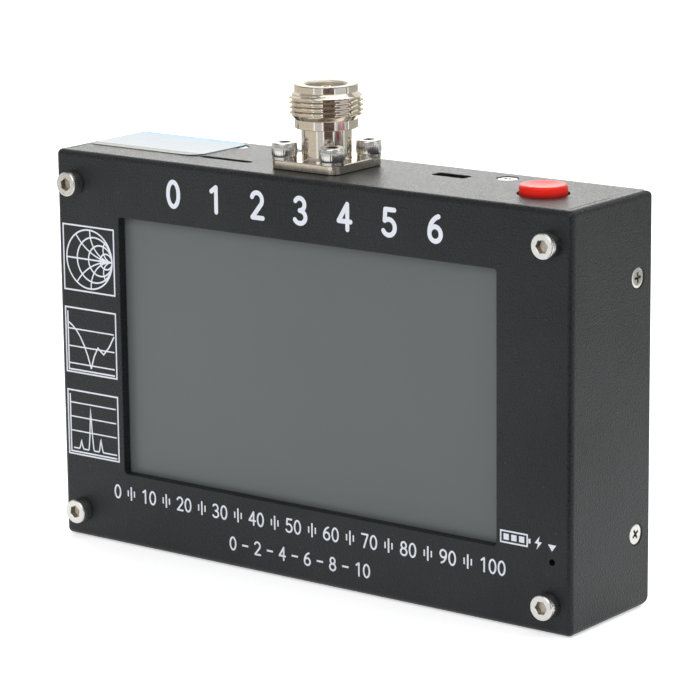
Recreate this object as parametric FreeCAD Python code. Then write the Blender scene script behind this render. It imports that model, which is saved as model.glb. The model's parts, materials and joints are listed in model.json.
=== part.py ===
import FreeCAD, Part

import math
import os

from FreeCAD import Placement, Rotation, Vector

# An antenna analyzer: a flat black case with a touch display in front, and a coaxial socket,
# a card slot, a charging socket and a power button on top. Two boards and a flat cell are inside.
#
# Millimetres. +X is to the right of someone who faces the display, +Y is to the back, +Z is up.
# The origin is the centre of the case's underside. Pieces are built with Y counted back from
# the front face, and are moved forward by half the case's depth when they are written.

past = 1.0                   # how far a cutting shape runs past what it cuts
near = 1e-4                  # how closely an edge lies on the plane that picks it
aligned = 0.999              # cosine above which an edge runs along a direction

# ---- window, and the case's edges round it ----
window_width = 100.0
window_height = 57.6
window_left = 17.75          # from the left side of the case to the window
window_right = 18.25
window_rise = 16.35          # from the underside of the case to the window
window_drop = 13.55          # from the top of the case to the window
window_corner = 0.7

case_width = window_left + window_width + window_right
case_height = window_rise + window_height + window_drop
window_x = (window_left - window_right) / 2
window_z = window_rise + window_height / 2

# ---- front shell: one folded sheet ----
sheet = 2.0
edge_round = 1.2             # outside round of the folds and the long edges
bend_inside = 0.3            # inside round of the folds
rear_corner_low = 3.0        # round on the side flanges' free rear corners, at the underside
rear_corner_high = 1.2       # and at the top
rear_break = 0.4             # round on the shell's outer rear edges
opening_break = 0.2          # round on the rims of the window, the slots and the button's hole
seam_width = 0.2             # slit beside the side flanges
seam_length = 15.0

# ---- rear cover: a plate with bent tabs that stand inside the shell ----
cover_sheet = 1.5
cover_clearance = 0.2        # between the cover and the shell, all round
cover_corner = 1.5
tab_width = 10.0
tab_reach = 8.0              # forward of the cover plate
tab_root = 4.0               # strip of plate that a tab is bent from
tab_relief = 1.2             # notch each side of a tab
tab_corner = 1.9
tab_screw_inset = 5.1        # from the case's rear face
side_tab_low = 16.2          # height of the lower side screws
side_tab_drop = 17.3         # upper side screws, below the top
edge_tab_inset = 32.1        # screws on the top and the bottom, from the sides of the case

# ---- screws ----
thread_radius = 1.5          # M3
thread_fit = 0.05            # radial gap between a thread and its hole
through_fit = 0.15           # radial gap round a screw in a plain hole
cap_head_radius = 2.75
cap_head_height = 3.0
cap_head_round = 0.35
cap_socket_flats = 2.5
cap_socket_depth = 1.6
thread_engagement = 4.0      # front screws, inside their posts
thread_room = 0.4            # left below a screw's end
pan_head_radius = 2.75
pan_head_height = 1.9
pan_head_round = 0.6
cover_thread_radius = 1.25   # M2.5
cover_head_radius = 2.05
cover_sink_rim = 2.45        # radius of a countersink at the shell's surface
cover_screw_length = 5.0
cross_width = 0.55
cross_reach = 1.2            # of the cross recess, from the screw's axis
cross_floor_reach = 0.4
cross_depth = 0.8

# ---- layers behind the front wall ----
gasket_thickness = 0.3
touch_thickness = 1.2
display_thickness = 2.9
display_tape_thickness = 1.0
board_thickness = 1.6
board_gap = 8.7
cell_room = 3.4              # between the radio board and the cell
cell_thickness = 4.7
cell_tape_thickness = 0.4

touch_front = sheet + gasket_thickness
display_front = touch_front + touch_thickness
display_back = display_front + display_thickness
control_front = display_back + display_tape_thickness
control_back = control_front + board_thickness
radio_front = control_back + board_gap
radio_back = radio_front + board_thickness
cell_front = radio_back + cell_room
cell_back = cell_front + cell_thickness
cover_front = cell_back + cell_tape_thickness
case_depth = cover_front + cover_sheet

inner_half = case_width / 2 - sheet
inner_top = case_height - sheet

# ---- display module ----
module_side_border = 2.75    # the module is this much wider than the window, each side
module_end_border = 4.8      # and this much higher, above and below
gasket_margin = 0.8          # the gasket stays this far out of sight
module_corner = 0.8
glass_border = 1.6           # the cell glass is this much smaller than the module, each side
glass_thickness = 1.3
guide_thickness = 0.8
bezel_wall = 0.3
bezel_lip = 3.6              # width of the bezel's front rim
module_fit = 0.1
tape_strip_width = 13.0
tape_strip_inset = 11.0      # from the sides of the module
tape_strip_border = 6.7      # from its upper and lower edges

module_width = window_width + 2 * module_side_border
module_height = window_height + 2 * module_end_border
module_bottom = window_z - module_height / 2

# ---- posts and boards ----
post_clearance = 0.4         # between a post's corner and the case
post_low = 6.2
post_drop = 7.1              # upper posts, below the top
post_flats = 5.0             # width across flats
stud_length = 5.0
board_clearance = 0.5
board_corner = 1.5
board_hole_fit = 0.1
board_screw_length = 5.5
connector_gap = 1.8          # the boards stay this far from the flange's width
connector_drop = 0.9         # and this far below the flange screws

post_x = inner_half - post_clearance - post_flats / math.sqrt(3)
post_heights = (post_low, case_height - post_drop)
board_half = inner_half - board_clearance
board_bottom = sheet + board_clearance
board_top = inner_top - board_clearance

# ---- coaxial socket ----
coax_x = -4.0
coax_y = case_depth / 2
flange_width = 17.5
flange_corner = 2.0
flange_thickness = 2.0
flange_pitch = 12.7
neck_radius = 5.35
collar_radius = 6.75
collar_base = 8.55           # heights above the case
collar_top = 10.3
thread_base = 11.3
thread_crest_radius = 7.94   # 5/8 inch, 24 to the inch
thread_depth = 0.65
thread_pitch = 1.058
thread_turns = 4
thread_crest = 0.2           # width of the flat on a crest
nose_radius = 6.75
nose_chamfer = 0.8
nose_height = 1.45
bore_radius = 4.35
bore_chamfer = 0.3
spigot_radius = 5.5
spigot_fit = 0.15
insulator_recess = 5.5       # below the mouth
insulator_tail = 2.2         # below the case's top wall
contact_radius = 1.5
contact_tip_radius = 1.0
contact_recess = 0.6
contact_tail = 5.8           # below the case's top wall
contact_bore_radius = 0.65
contact_slot = 0.3
contact_slot_depth = 3.0
thread_top = thread_base + thread_pitch * thread_turns
coax_height = thread_top + nose_chamfer + nose_height
washer_radius = 2.65
washer_thickness = 0.6
washer_split = 0.3
nut_flats = 5.5
nut_height = 2.4
nut_tail = 1.0               # of the flange screws, past their nuts
strap_width = 2.2
strap_thickness = 0.4
strap_foot = 2.0
strap_end = inner_top - contact_tail - strap_thickness - strap_foot

flange_screw_length = washer_thickness + flange_thickness + sheet + nut_height + nut_tail
flange_screw_end = inner_top - nut_height - nut_tail
board_notch_floor = flange_screw_end - connector_drop
board_notch_half = flange_width / 2 + connector_gap

# ---- power button and its latching switch ----
button_inset = 16.4          # from the right side of the case
button_radius = 5.0
button_hole_fit = 0.4
button_proud = 1.9
button_height = 7.0
button_round = 0.45
button_dish = 0.35
button_rim = 0.9
button_travel = 1.8
switch_width = 7.0
switch_body_height = 8.5
switch_wall = 0.9
switch_gap = 0.5             # between the pressed button and the switch
switch_depth = 7.1           # in front of the radio board
plunger_width = 3.0
plunger_fit = 0.15
plunger_grip = 4.2           # inside the button
plunger_foot_width = 4.2
plunger_foot_height = 1.5
spring_radius = 1.5
spring_wire_radius = 0.15
spring_turns = 5
spring_wire_sides = 16       # the round wire is drawn with this many sides
terminal_width = 0.6
terminal_pitch = 2.2
terminal_row_pitch = 4.0
terminal_tail = 0.9          # past the radio board
button_x = case_width / 2 - button_inset
button_y = radio_front - switch_depth / 2
switch_top = case_height + button_proud - button_height - button_travel - switch_gap

# ---- charging socket ----
usb_inset = 43.75            # from the right side of the case
usb_width = 7.5
usb_height = 2.5
usb_length = 5.6
usb_wall = 0.3
usb_bevel = 0.7
usb_slot_width = 8.4
usb_slot_height = 3.2
usb_slot_corner = 0.6
usb_recess = 0.15            # below the inside of the case's top
usb_x = case_width / 2 - usb_inset
tongue_width = 3.7
tongue_thickness = 0.6
tongue_length = 3.4
tongue_recess = 1.0          # below the socket's mouth

# ---- card socket ----
card_inset = 40.3            # from the left side of the case
card_socket_width = 14.0
card_socket_length = 15.0
card_socket_height = 1.9
card_width = 11.3
card_thickness = 0.9
card_floor = 0.5
card_cover = 0.2
card_stop = 1.5              # closed end of the socket
card_slot_width = 13.8
card_slot_height = 1.8
card_slot_corner = 0.85
card_x = card_inset - case_width / 2

# ---- charge light ----
light_inset = 4.55           # from the right side of the case
light_z = 15.2
light_hole_radius = 0.7
light_radius = 1.5
light_rim_radius = 1.85
light_rim_height = 0.8
light_lead_width = 0.5
light_lead_pitch = 2.0
light_lead_tail = 0.8
light_standoff = 0.6         # between the lamp's rim and the control board

# ---- flat cables, headers and chips ----
ribbon_width = 20.5
ribbon_thickness = 0.3
ribbon_drop = 3.0            # below the display, before it turns
ribbon_slot_room = 0.9
ribbon_socket_length = 4.0
ribbon_socket_height = 2.0
ribbon_socket_wall = 1.0
ribbon_latch_length = 1.2
ribbon_latch_thickness = 0.6
header_x = -8.0
header_z = 22.0
header_pitch = 2.54
header_columns = 10
header_rows = 2
header_plug_height = 2.5
header_gap = 0.2
header_pin_width = 0.64
header_pin_tail = 0.75       # in front of the control board
header_pin_reach = 4.0       # inside the header socket
header_socket_floor = 1.0
header_pin_fit = 0.13
chip_corner = 0.3
processor_x = 16.0
processor_z = 46.0
processor_width = 20.0
processor_height = 1.4
memory_x = 38.0
memory_z = 46.0
memory_width = 11.0
memory_length = 18.0
memory_height = 1.2
crystal_x = 16.0
crystal_z = 27.0
crystal_width = 8.0
crystal_length = 4.5
crystal_height = 3.5
crystal_round = 2.0
shield_x = -4.0
shield_gap = 4.3             # below the coaxial strap
shield_top = strap_end - shield_gap
shield_width = 36.0
shield_length = 26.0
shield_height = 3.0
shield_wall = 0.3
shield_lid_skirt = 1.6
shield_fit = 0.05
radio_chip_width = 5.0
radio_chip_height = 1.0
radio_chip_pitch = 10.0
charger_inset = 13.0         # from the right side of the case
charger_z = 48.0
charger_width = 5.0
charger_height = 1.2
choke_z = 38.0
choke_width = 6.0
choke_height = 2.6
charger_x = case_width / 2 - charger_inset
small_part_width = 1.6
small_part_length = 3.2
small_part_height = 1.1
small_part_pitch = 6.0
small_part_count = 6

# ---- cell and its leads ----
cell_length = 84.0
cell_height = 52.0
cell_round = 1.5
cell_x = -4.0
cell_z = 40.0
cell_fold_overlap = 1.0      # of the folded end, inside the pouch
cell_ledge = 3.5             # folded end that holds the protection circuit
cell_ledge_height = 36.0
cell_ledge_thickness = 3.0
cell_tape_border = 6.0
plug_inset = 13.0            # from the right side of the case
plug_drop = 25.5             # from the top of the case to the plug's underside
plug_width = 6.0
plug_length = 5.0
plug_height = 4.0
socket_width = 8.0
socket_length = 6.5
socket_height = 5.4
plug_fit = 0.1
plug_insertion = 4.0
lead_radius = 0.65
lead_pitch = 2.0
lead_bend = 2.6
lead_exit_rise = 10.0        # of the leads' exit, above the middle of the cell
lead_exit_z = cell_z + lead_exit_rise
lead_straight = 5.0          # last run, up into the plug
plug_x = case_width / 2 - plug_inset
plug_z = case_height - plug_drop

# ---- label ----
label_left = 1.4             # from the left side of the case
label_width = 31.0
label_front = 9.0
label_length = 19.0
label_corner = 2.6
label_thickness = 0.15


# ---------------------------------------------------------------- shape helpers

def around(middle, width):
    """The limits that lie half a width each side of a middle."""
    return (middle - width / 2, middle + width / 2)


def block(x, y, z):
    """A box between three pairs of limits."""
    return Part.makeBox(x[1] - x[0], y[1] - y[0], z[1] - z[0], Vector(x[0], y[0], z[0]))


def bar(radius, start, end):
    """A round bar between two points."""
    return Part.makeCylinder(radius, (end - start).Length, start, end - start)


def aimed(shape, point, direction):
    """A shape built up +Z from the origin, moved to a point and turned to a direction."""
    turned = shape.copy()
    turned.Placement = Placement(point, Rotation(Vector(0, 0, 1), direction))
    return turned


def hexagon(flats, start, end):
    """A hexagonal bar between two points."""
    corner = flats / math.sqrt(3)
    angles = [math.radians(60 * side) for side in range(7)]
    outline = Part.makePolygon([Vector(corner * math.cos(a), corner * math.sin(a), 0) for a in angles])
    length = (end - start).Length
    return aimed(Part.Face(outline).extrude(Vector(0, 0, length)), start, end - start)


def turned_profile(points):
    """A solid of revolution about Z, from (radius, height) points."""
    corners = [Vector(radius, 0, height) for radius, height in points]
    outline = Part.makePolygon(corners + corners[:1])
    return Part.Face(outline).revolve(Vector(0, 0, 0), Vector(0, 0, 1), 360)


def straight_edges(shape, direction):
    """The straight edges of a shape that run along a direction."""
    found = []
    for edge in shape.Edges:
        if edge.Curve.TypeId == "Part::GeomLine":
            along = edge.tangentAt(edge.FirstParameter)
            if abs(along.dot(direction)) > aligned:
                found.append(edge)
    return found


def rounded(shape, radius, direction):
    """A shape with a round on each straight edge that runs along a direction."""
    return shape.makeFillet(radius, straight_edges(shape, direction))


def edges_at_height(shape, height):
    """The edges of a shape that lie in one level plane."""
    return [edge for edge in shape.Edges
            if abs(edge.BoundBox.ZMin - height) < near and abs(edge.BoundBox.ZMax - height) < near]


def joined(shapes):
    """One solid from shapes that touch."""
    return shapes[0].fuse(shapes[1:]).removeSplitter()


# ---------------------------------------------------------------- places that several pieces share

def post_places():
    """The four post axes, as (x, z)."""
    return [(x, z) for x in (-post_x, post_x) for z in post_heights]


def flange_screw_places():
    """The four flange screw axes, as (x, y)."""
    offset = flange_pitch / 2
    return [(coax_x + dx, coax_y + dy) for dx in (-offset, offset) for dy in (-offset, offset)]


def cover_screw_places():
    """Each cover screw's point on the case's surface, with its outward direction."""
    y = case_depth - tab_screw_inset
    places = []
    for side in (-1, 1):
        for z in (side_tab_low, case_height - side_tab_drop):
            places.append((Vector(side * case_width / 2, y, z), Vector(side, 0, 0)))
        x = side * (case_width / 2 - edge_tab_inset)
        places.append((Vector(x, y, case_height), Vector(0, 0, 1)))
        places.append((Vector(x, y, 0), Vector(0, 0, -1)))
    return places


def light_x():
    return case_width / 2 - light_inset


def light_lead_places():
    """The lamp's two leads, as (x, z)."""
    return [(light_x() + dx, light_z) for dx in (-light_lead_pitch / 2, light_lead_pitch / 2)]


def header_pin_places():
    """The board header's pins, as (x, z)."""
    places = []
    for column in range(header_columns):
        for row in range(header_rows):
            x = header_x + (column - (header_columns - 1) / 2) * header_pitch
            z = header_z + (row - (header_rows - 1) / 2) * header_pitch
            places.append((x, z))
    return places


def terminal_places():
    """The switch's terminals, as (x, z)."""
    middle = switch_top - switch_body_height / 2
    places = []
    for column in (-1, 0, 1):
        for row in (-1, 1):
            places.append((button_x + column * terminal_pitch, middle + row * terminal_row_pitch / 2))
    return places


def ribbon_bottom():
    """Lowest point of the ribbon's turn."""
    return module_bottom - ribbon_drop - ribbon_turn_radius()


def ribbon_start_y():
    """Middle of the ribbon where it leaves the display."""
    return display_back - bezel_wall - ribbon_thickness


def ribbon_end_y():
    """Middle of the ribbon where it enters its socket."""
    return control_back + ribbon_socket_height / 2


def ribbon_turn_radius():
    return (ribbon_end_y() - ribbon_start_y()) / 2


# ---------------------------------------------------------------- case

def case_block():
    """The outside of the case, rounded on its front and long edges."""
    solid = block(around(0, case_width), (0, case_depth), (0, case_height))
    edges = [edge for edge in solid.Edges if edge.BoundBox.YMin < case_depth / 2]
    solid = solid.makeFillet(edge_round, edges)
    rear = [edge for edge in solid.Edges if edge.BoundBox.YMin > case_depth - near]
    return solid.makeFillet(rear_break, rear)


def case_hollow():
    """The inside of the case, open to the back."""
    solid = block(around(0, 2 * inner_half), (sheet, case_depth + past), (sheet, inner_top))
    edges = [edge for edge in solid.Edges if edge.BoundBox.YMin < case_depth]
    return solid.makeFillet(bend_inside, edges)


def corner_waste():
    """What is rounded off the free rear corners of the side flanges."""
    waste = []
    corners = ((rear_corner_low, rear_corner_low, -1),
               (rear_corner_high, case_height - rear_corner_high, 1))
    for side in (-1, 1):
        flange = sorted((side * inner_half, side * (case_width / 2 + past)))
        for radius, z, outward in corners:
            inside = case_depth - radius
            limits = sorted((z, z + outward * (radius + past)))
            corner = block(flange, (inside, case_depth + past), limits)
            kept = bar(radius, Vector(flange[0], inside, z), Vector(flange[1], inside, z))
            waste.append(corner.cut(kept))
    return waste


def seams():
    """Slits between the side flanges and the top and bottom flanges."""
    cuts = []
    for side in (-1, 1):
        for z in (around(0, 2 * sheet), around(case_height, 2 * sheet)):
            x = around(side * (inner_half - seam_width / 2), seam_width)
            cuts.append(block(x, (sheet, sheet + seam_length), z))
    return cuts


def countersink(point, outward):
    """A hole for a sunk cover screw, through the shell."""
    hole = cover_thread_radius + through_fit
    profile = [(0, past), (cover_sink_rim, past), (cover_sink_rim, 0), (hole, hole - cover_sink_rim),
               (hole, -sheet - past), (0, -sheet - past)]
    return aimed(turned_profile(profile), point, outward)


def front_openings():
    """The window, and the holes for the front screws and the charge light."""
    front = -past
    back = sheet + past
    window = block(around(window_x, window_width), (front, back), around(window_z, window_height))
    holes = [rounded(window, window_corner, Vector(0, 1, 0))]
    for x, z in post_places():
        holes.append(bar(thread_radius + through_fit, Vector(x, front, z), Vector(x, back, z)))
    x = light_x()
    holes.append(bar(light_hole_radius, Vector(x, front, light_z), Vector(x, back, light_z)))
    return holes


def top_openings():
    """The holes for the coaxial socket, the card, the charging plug and the button."""
    under = inner_top - past
    over = case_height + past
    through = (under, over)
    holes = [bar(spigot_radius + spigot_fit, Vector(coax_x, coax_y, under), Vector(coax_x, coax_y, over))]
    for x, y in flange_screw_places():
        holes.append(bar(thread_radius + through_fit, Vector(x, y, under), Vector(x, y, over)))
    holes.append(bar(button_radius + button_hole_fit,
                     Vector(button_x, button_y, under), Vector(button_x, button_y, over)))
    card_y = control_back + card_floor + card_thickness / 2
    card_slot = block(around(card_x, card_slot_width), around(card_y, card_slot_height), through)
    holes.append(rounded(card_slot, card_slot_corner, Vector(0, 0, 1)))
    usb_y = radio_back + usb_height / 2
    usb_slot = block(around(usb_x, usb_slot_width), around(usb_y, usb_slot_height), through)
    holes.append(rounded(usb_slot, usb_slot_corner, Vector(0, 0, 1)))
    return holes


def opening_rims(shell):
    """The outer rims of the window, the two slots and the button's hole."""
    rims = []
    for edge in shell.Edges:
        box = edge.BoundBox
        if box.YMax < near:
            across = abs(box.Center.x - window_x) < window_width / 2 + near
            up = abs(box.Center.z - window_z) < window_height / 2 + near
            if across and up:
                rims.append(edge)
        elif box.ZMin > case_height - near:
            for x, width in ((card_x, card_slot_width), (usb_x, usb_slot_width),
                             (button_x, 2 * (button_radius + button_hole_fit))):
                if abs(box.Center.x - x) < width / 2 + near and box.XLength < width + near:
                    rims.append(edge)
    return rims


def make_front_shell():
    shell = case_block().cut(case_hollow())
    shell = shell.cut(corner_waste() + seams() + front_openings() + top_openings())
    shell = shell.makeFillet(opening_break, opening_rims(shell))
    return shell.cut([countersink(point, outward) for point, outward in cover_screw_places()])


def cover_tab():
    """One tab, bent forward off a strip of plate. Its outer face is on X = 0, centred on Z = 0."""
    width = around(0, tab_width)
    strip = block((-tab_root, 0), (cover_front, case_depth), width)
    leaf = block((-cover_sheet, 0), (cover_front - tab_reach, case_depth), width)
    tab = joined([strip, leaf])
    bend = [edge for edge in straight_edges(tab, Vector(0, 0, 1))
            if edge.BoundBox.XMin > -near and edge.BoundBox.YMin > case_depth - near]
    tab = tab.makeFillet(cover_sheet + bend_inside, bend)
    ends = [edge for edge in straight_edges(tab, Vector(1, 0, 0))
            if edge.BoundBox.YMax < cover_front - tab_reach + near]
    return tab.makeFillet(tab_corner, ends)


def make_rear_cover():
    half = inner_half - cover_clearance
    low = sheet + cover_clearance
    high = inner_top - cover_clearance
    cover = block((-half, half), (cover_front, case_depth), (low, high))
    cover = rounded(cover, cover_corner, Vector(0, 1, 0))
    notch_width = tab_width + 2 * tab_relief
    notch = block((-tab_root, past), (cover_front - past, case_depth + past), around(0, notch_width))
    tab = cover_tab()
    for point, outward in cover_screw_places():
        seat = point - outward * (sheet + cover_clearance)
        spot = Vector(seat.x, 0, seat.z)
        turn = Rotation(Vector(0, 1, 0), math.degrees(math.atan2(-outward.z, outward.x)))
        for tool in (notch, tab):
            tool.Placement = Placement(spot, turn)
        cover = cover.cut(notch).fuse(tab)
        through = sheet + cover_clearance + cover_sheet + past
        tapped = bar(cover_thread_radius + thread_fit, point, point - outward * through)
        cover = cover.cut(tapped)
    return cover.removeSplitter()


def cross_recess(depth):
    """The tapered cross of a screw driver, pressed down from the origin."""
    blades = []
    for turn in (0, 90):
        corners = [Vector(-cross_reach, 0, past), Vector(cross_reach, 0, past), Vector(cross_reach, 0, 0),
                   Vector(cross_floor_reach, 0, -depth), Vector(-cross_floor_reach, 0, -depth),
                   Vector(-cross_reach, 0, 0)]
        outline = Part.makePolygon(corners + corners[:1])
        blade = Part.Face(outline).extrude(Vector(0, cross_width, 0))
        blade.translate(Vector(0, -cross_width / 2, 0))
        blade.rotate(Vector(0, 0, 0), Vector(0, 0, 1), turn)
        blades.append(blade)
    return blades


def cover_screw():
    """A countersunk screw that points down from the case's surface at the origin."""
    top = cover_head_radius + through_fit - cover_sink_rim
    taper = cover_head_radius - cover_thread_radius
    end = -cover_screw_length
    body = turned_profile([(0, top), (cover_head_radius, top), (cover_thread_radius, top - taper),
                           (cover_thread_radius, end), (0, end)])
    recess = cross_recess(cross_depth)
    for blade in recess:
        blade.translate(Vector(0, 0, top))
    return body.cut(recess)


def make_cover_screws():
    return Part.makeCompound([aimed(cover_screw(), point, out) for point, out in cover_screw_places()])


def cap_screw(length):
    """A socket cap screw. The underside of its head is at the origin, and its shank points down."""
    head = Part.makeCylinder(cap_head_radius, cap_head_height)
    head = head.makeFillet(cap_head_round, edges_at_height(head, cap_head_height))
    socket = hexagon(cap_socket_flats, Vector(0, 0, cap_head_height - cap_socket_depth),
                     Vector(0, 0, cap_head_height + past))
    shank = Part.makeCylinder(thread_radius, length, Vector(0, 0, -length))
    return joined([head.cut(socket), shank])


def make_front_screws():
    screw = cap_screw(sheet + thread_engagement)
    return Part.makeCompound([aimed(screw, Vector(x, 0, z), Vector(0, -1, 0)) for x, z in post_places()])


def make_label():
    left = label_left - case_width / 2
    label = block((left, left + label_width), (label_front, label_front + label_length),
                  (case_height, case_height + label_thickness))
    return rounded(label, label_corner, Vector(0, 0, 1))


# ---------------------------------------------------------------- display

def make_window_gasket():
    outer = block(around(window_x, module_width), (sheet, touch_front), around(window_z, module_height))
    inner = block(around(window_x, window_width + 2 * gasket_margin), (sheet - past, touch_front + past),
                  around(window_z, window_height + 2 * gasket_margin))
    return rounded(outer, module_corner, Vector(0, 1, 0)).cut(inner)


def make_touch_panel():
    panel = block(around(window_x, module_width), (touch_front, display_front),
                  around(window_z, module_height))
    return rounded(panel, module_corner, Vector(0, 1, 0))


def make_display_bezel():
    """The pressed metal rim of the display module."""
    outer = block(around(window_x, module_width), (display_front, display_back),
                  around(window_z, module_height))
    inside = block(around(window_x, module_width - 2 * bezel_wall),
                   (display_front + bezel_wall, display_back + past),
                   around(window_z, module_height - 2 * bezel_wall))
    view = block(around(window_x, module_width - 2 * bezel_lip), (display_front - past, display_back),
                 around(window_z, module_height - 2 * bezel_lip))
    return rounded(outer, module_corner, Vector(0, 1, 0)).cut([inside, view])


def make_display_glass():
    front = display_front + bezel_wall
    return block(around(window_x, module_width - 2 * glass_border), (front, front + glass_thickness),
                 around(window_z, module_height - 2 * glass_border))


def make_light_guide():
    front = display_front + bezel_wall + glass_thickness
    return block(around(window_x, module_width - 2 * glass_border), (front, front + guide_thickness),
                 around(window_z, module_height - 2 * glass_border))


def make_backlight_tray():
    """The white tray that holds the glass and the light guide in the bezel."""
    shrink = 2 * (bezel_wall + module_fit)
    tray = block(around(window_x, module_width - shrink), (display_front + bezel_wall, display_back),
                 around(window_z, module_height - shrink))
    hollow_back = display_front + bezel_wall + glass_thickness + guide_thickness
    hollow = block(around(window_x, module_width - 2 * glass_border + 2 * module_fit),
                   (display_front - past, hollow_back),
                   around(window_z, module_height - 2 * glass_border + 2 * module_fit))
    return tray.cut(hollow)


def make_display_tape():
    """Two strips of foam tape between the display and the control board."""
    strips = []
    for side in (-1, 1):
        x = window_x + side * (module_width / 2 - tape_strip_inset - tape_strip_width / 2)
        strips.append(block(around(x, tape_strip_width), (display_back, control_front),
                            around(window_z, module_height - 2 * tape_strip_border)))
    return Part.makeCompound(strips)


def make_display_ribbon():
    """The display's flat cable: down, back through the control board's slot, and up to its socket."""
    radius = ribbon_turn_radius()
    half = ribbon_thickness / 2
    turn_z = module_bottom - ribbon_drop
    middle_y = ribbon_start_y() + radius
    end_z = ribbon_socket_bottom() + ribbon_socket_length - ribbon_socket_wall
    loops = []
    for reach in (radius + half, radius - half):
        start = Vector(0, middle_y - reach, turn_z)
        low = Vector(0, middle_y, turn_z - reach)
        end = Vector(0, middle_y + reach, turn_z)
        loops.append((start, low, end))
    (outer_start, outer_low, outer_end), (inner_start, inner_low, inner_end) = loops
    top = module_bottom
    edges = [
        Part.LineSegment(Vector(0, outer_start.y, top), outer_start),
        Part.Arc(outer_start, outer_low, outer_end),
        Part.LineSegment(outer_end, Vector(0, outer_end.y, end_z)),
        Part.LineSegment(Vector(0, outer_end.y, end_z), Vector(0, inner_end.y, end_z)),
        Part.LineSegment(Vector(0, inner_end.y, end_z), inner_end),
        Part.Arc(inner_end, inner_low, inner_start),
        Part.LineSegment(inner_start, Vector(0, inner_start.y, top)),
        Part.LineSegment(Vector(0, inner_start.y, top), Vector(0, outer_start.y, top)),
    ]
    outline = Part.Wire([edge.toShape() for edge in edges])
    ribbon = Part.Face(outline).extrude(Vector(ribbon_width, 0, 0))
    ribbon.translate(Vector(window_x - ribbon_width / 2, 0, 0))
    return ribbon


def ribbon_socket_bottom():
    return module_bottom + module_fit


def make_ribbon_socket():
    bottom = ribbon_socket_bottom()
    width = ribbon_width + 2 * ribbon_socket_wall
    body = block(around(window_x, width), (control_back, control_back + ribbon_socket_height),
                 (bottom, bottom + ribbon_socket_length))
    mouth = block(around(window_x, ribbon_width + 2 * module_fit),
                  around(ribbon_end_y(), ribbon_thickness + 2 * module_fit),
                  (bottom - past, bottom + ribbon_socket_length - ribbon_socket_wall))
    return body.cut(mouth)


def make_ribbon_latch():
    """The dark flap that grips the ribbon in its socket."""
    bottom = ribbon_socket_bottom()
    front = control_back + ribbon_socket_height
    return block(around(window_x, ribbon_width), (front, front + ribbon_latch_thickness),
                 (bottom, bottom + ribbon_latch_length))


# ---------------------------------------------------------------- boards and posts

def board_blank(front):
    """A board with rounded corners, post holes and a notch below the coaxial socket."""
    back = front + board_thickness
    board = block((-board_half, board_half), (front, back), (board_bottom, board_top))
    board = rounded(board, board_corner, Vector(0, 1, 0))
    through = (front - past, back + past)
    cuts = [block(around(coax_x, 2 * board_notch_half), through, (board_notch_floor, board_top + past))]
    for x, z in post_places():
        cuts.append(bar(thread_radius + board_hole_fit, Vector(x, through[0], z), Vector(x, through[1], z)))
    return board.cut(cuts)


def square_holes(places, width, front, back):
    depth = (front - past, back + past)
    return [block(around(x, width), depth, around(z, width)) for x, z in places]


def make_control_board():
    board = board_blank(control_front)
    slot = block(around(window_x, ribbon_width + 2 * ribbon_slot_room),
                 (control_front - past, control_back + past),
                 (ribbon_bottom() - ribbon_slot_room, module_bottom - ribbon_slot_room))
    lead_width = light_lead_width + 2 * header_pin_fit
    pin_width = header_pin_width + 2 * header_pin_fit
    cuts = [slot]
    cuts += square_holes(light_lead_places(), lead_width, control_front, control_back)
    cuts += square_holes(header_pin_places(), pin_width, control_front, control_back)
    return board.cut(cuts)


def make_radio_board():
    """The rear board, notched for the cover's tabs and for the button above its switch."""
    board = board_blank(radio_front)
    through = (radio_front - past, radio_back + past)
    cuts = square_holes(terminal_places(), terminal_width + 2 * header_pin_fit, radio_front, radio_back)
    cuts.append(block(around(button_x, 2 * (button_radius + board_clearance)), through,
                      (switch_top, board_top + past)))
    width = tab_width + 2 * tab_relief
    reach = sheet + 2 * cover_clearance + cover_sheet + board_clearance
    for point, outward in cover_screw_places():
        deepest = point - outward * reach
        if outward.x:
            x = sorted((deepest.x, point.x))
            z = around(point.z, width)
        else:
            x = around(point.x, width)
            z = sorted((deepest.z, point.z))
        cuts.append(block(x, through, z))
    return board.cut(cuts)


def make_front_posts():
    """Hexagonal posts, tapped in front and with a stud through the control board."""
    posts = []
    depth = thread_engagement + thread_room
    for x, z in post_places():
        post = hexagon(post_flats, Vector(x, sheet, z), Vector(x, control_front, z))
        tapped = bar(thread_radius + thread_fit, Vector(x, sheet - past, z), Vector(x, sheet + depth, z))
        stud = bar(thread_radius, Vector(x, control_front, z), Vector(x, control_front + stud_length, z))
        posts.append(joined([post.cut(tapped), stud]))
    return Part.makeCompound(posts)


def make_board_posts():
    """Hexagonal posts between the two boards, tapped right through."""
    posts = []
    for x, z in post_places():
        post = hexagon(post_flats, Vector(x, control_back, z), Vector(x, radio_front, z))
        tapped = bar(thread_radius + thread_fit, Vector(x, control_back - past, z),
                     Vector(x, radio_front + past, z))
        posts.append(post.cut(tapped))
    return Part.makeCompound(posts)


def pan_screw(length):
    """A pan head screw. The underside of its head is at the origin, and its shank points down."""
    head = Part.makeCylinder(pan_head_radius, pan_head_height)
    head = head.makeFillet(pan_head_round, edges_at_height(head, pan_head_height))
    recess = cross_recess(cross_depth)
    for blade in recess:
        blade.translate(Vector(0, 0, pan_head_height))
    shank = Part.makeCylinder(thread_radius, length, Vector(0, 0, -length))
    return joined([head.cut(recess), shank])


def make_board_screws():
    screw = pan_screw(board_screw_length)
    return Part.makeCompound([aimed(screw, Vector(x, radio_back, z), Vector(0, 1, 0))
                              for x, z in post_places()])


# ---------------------------------------------------------------- coaxial socket

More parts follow.
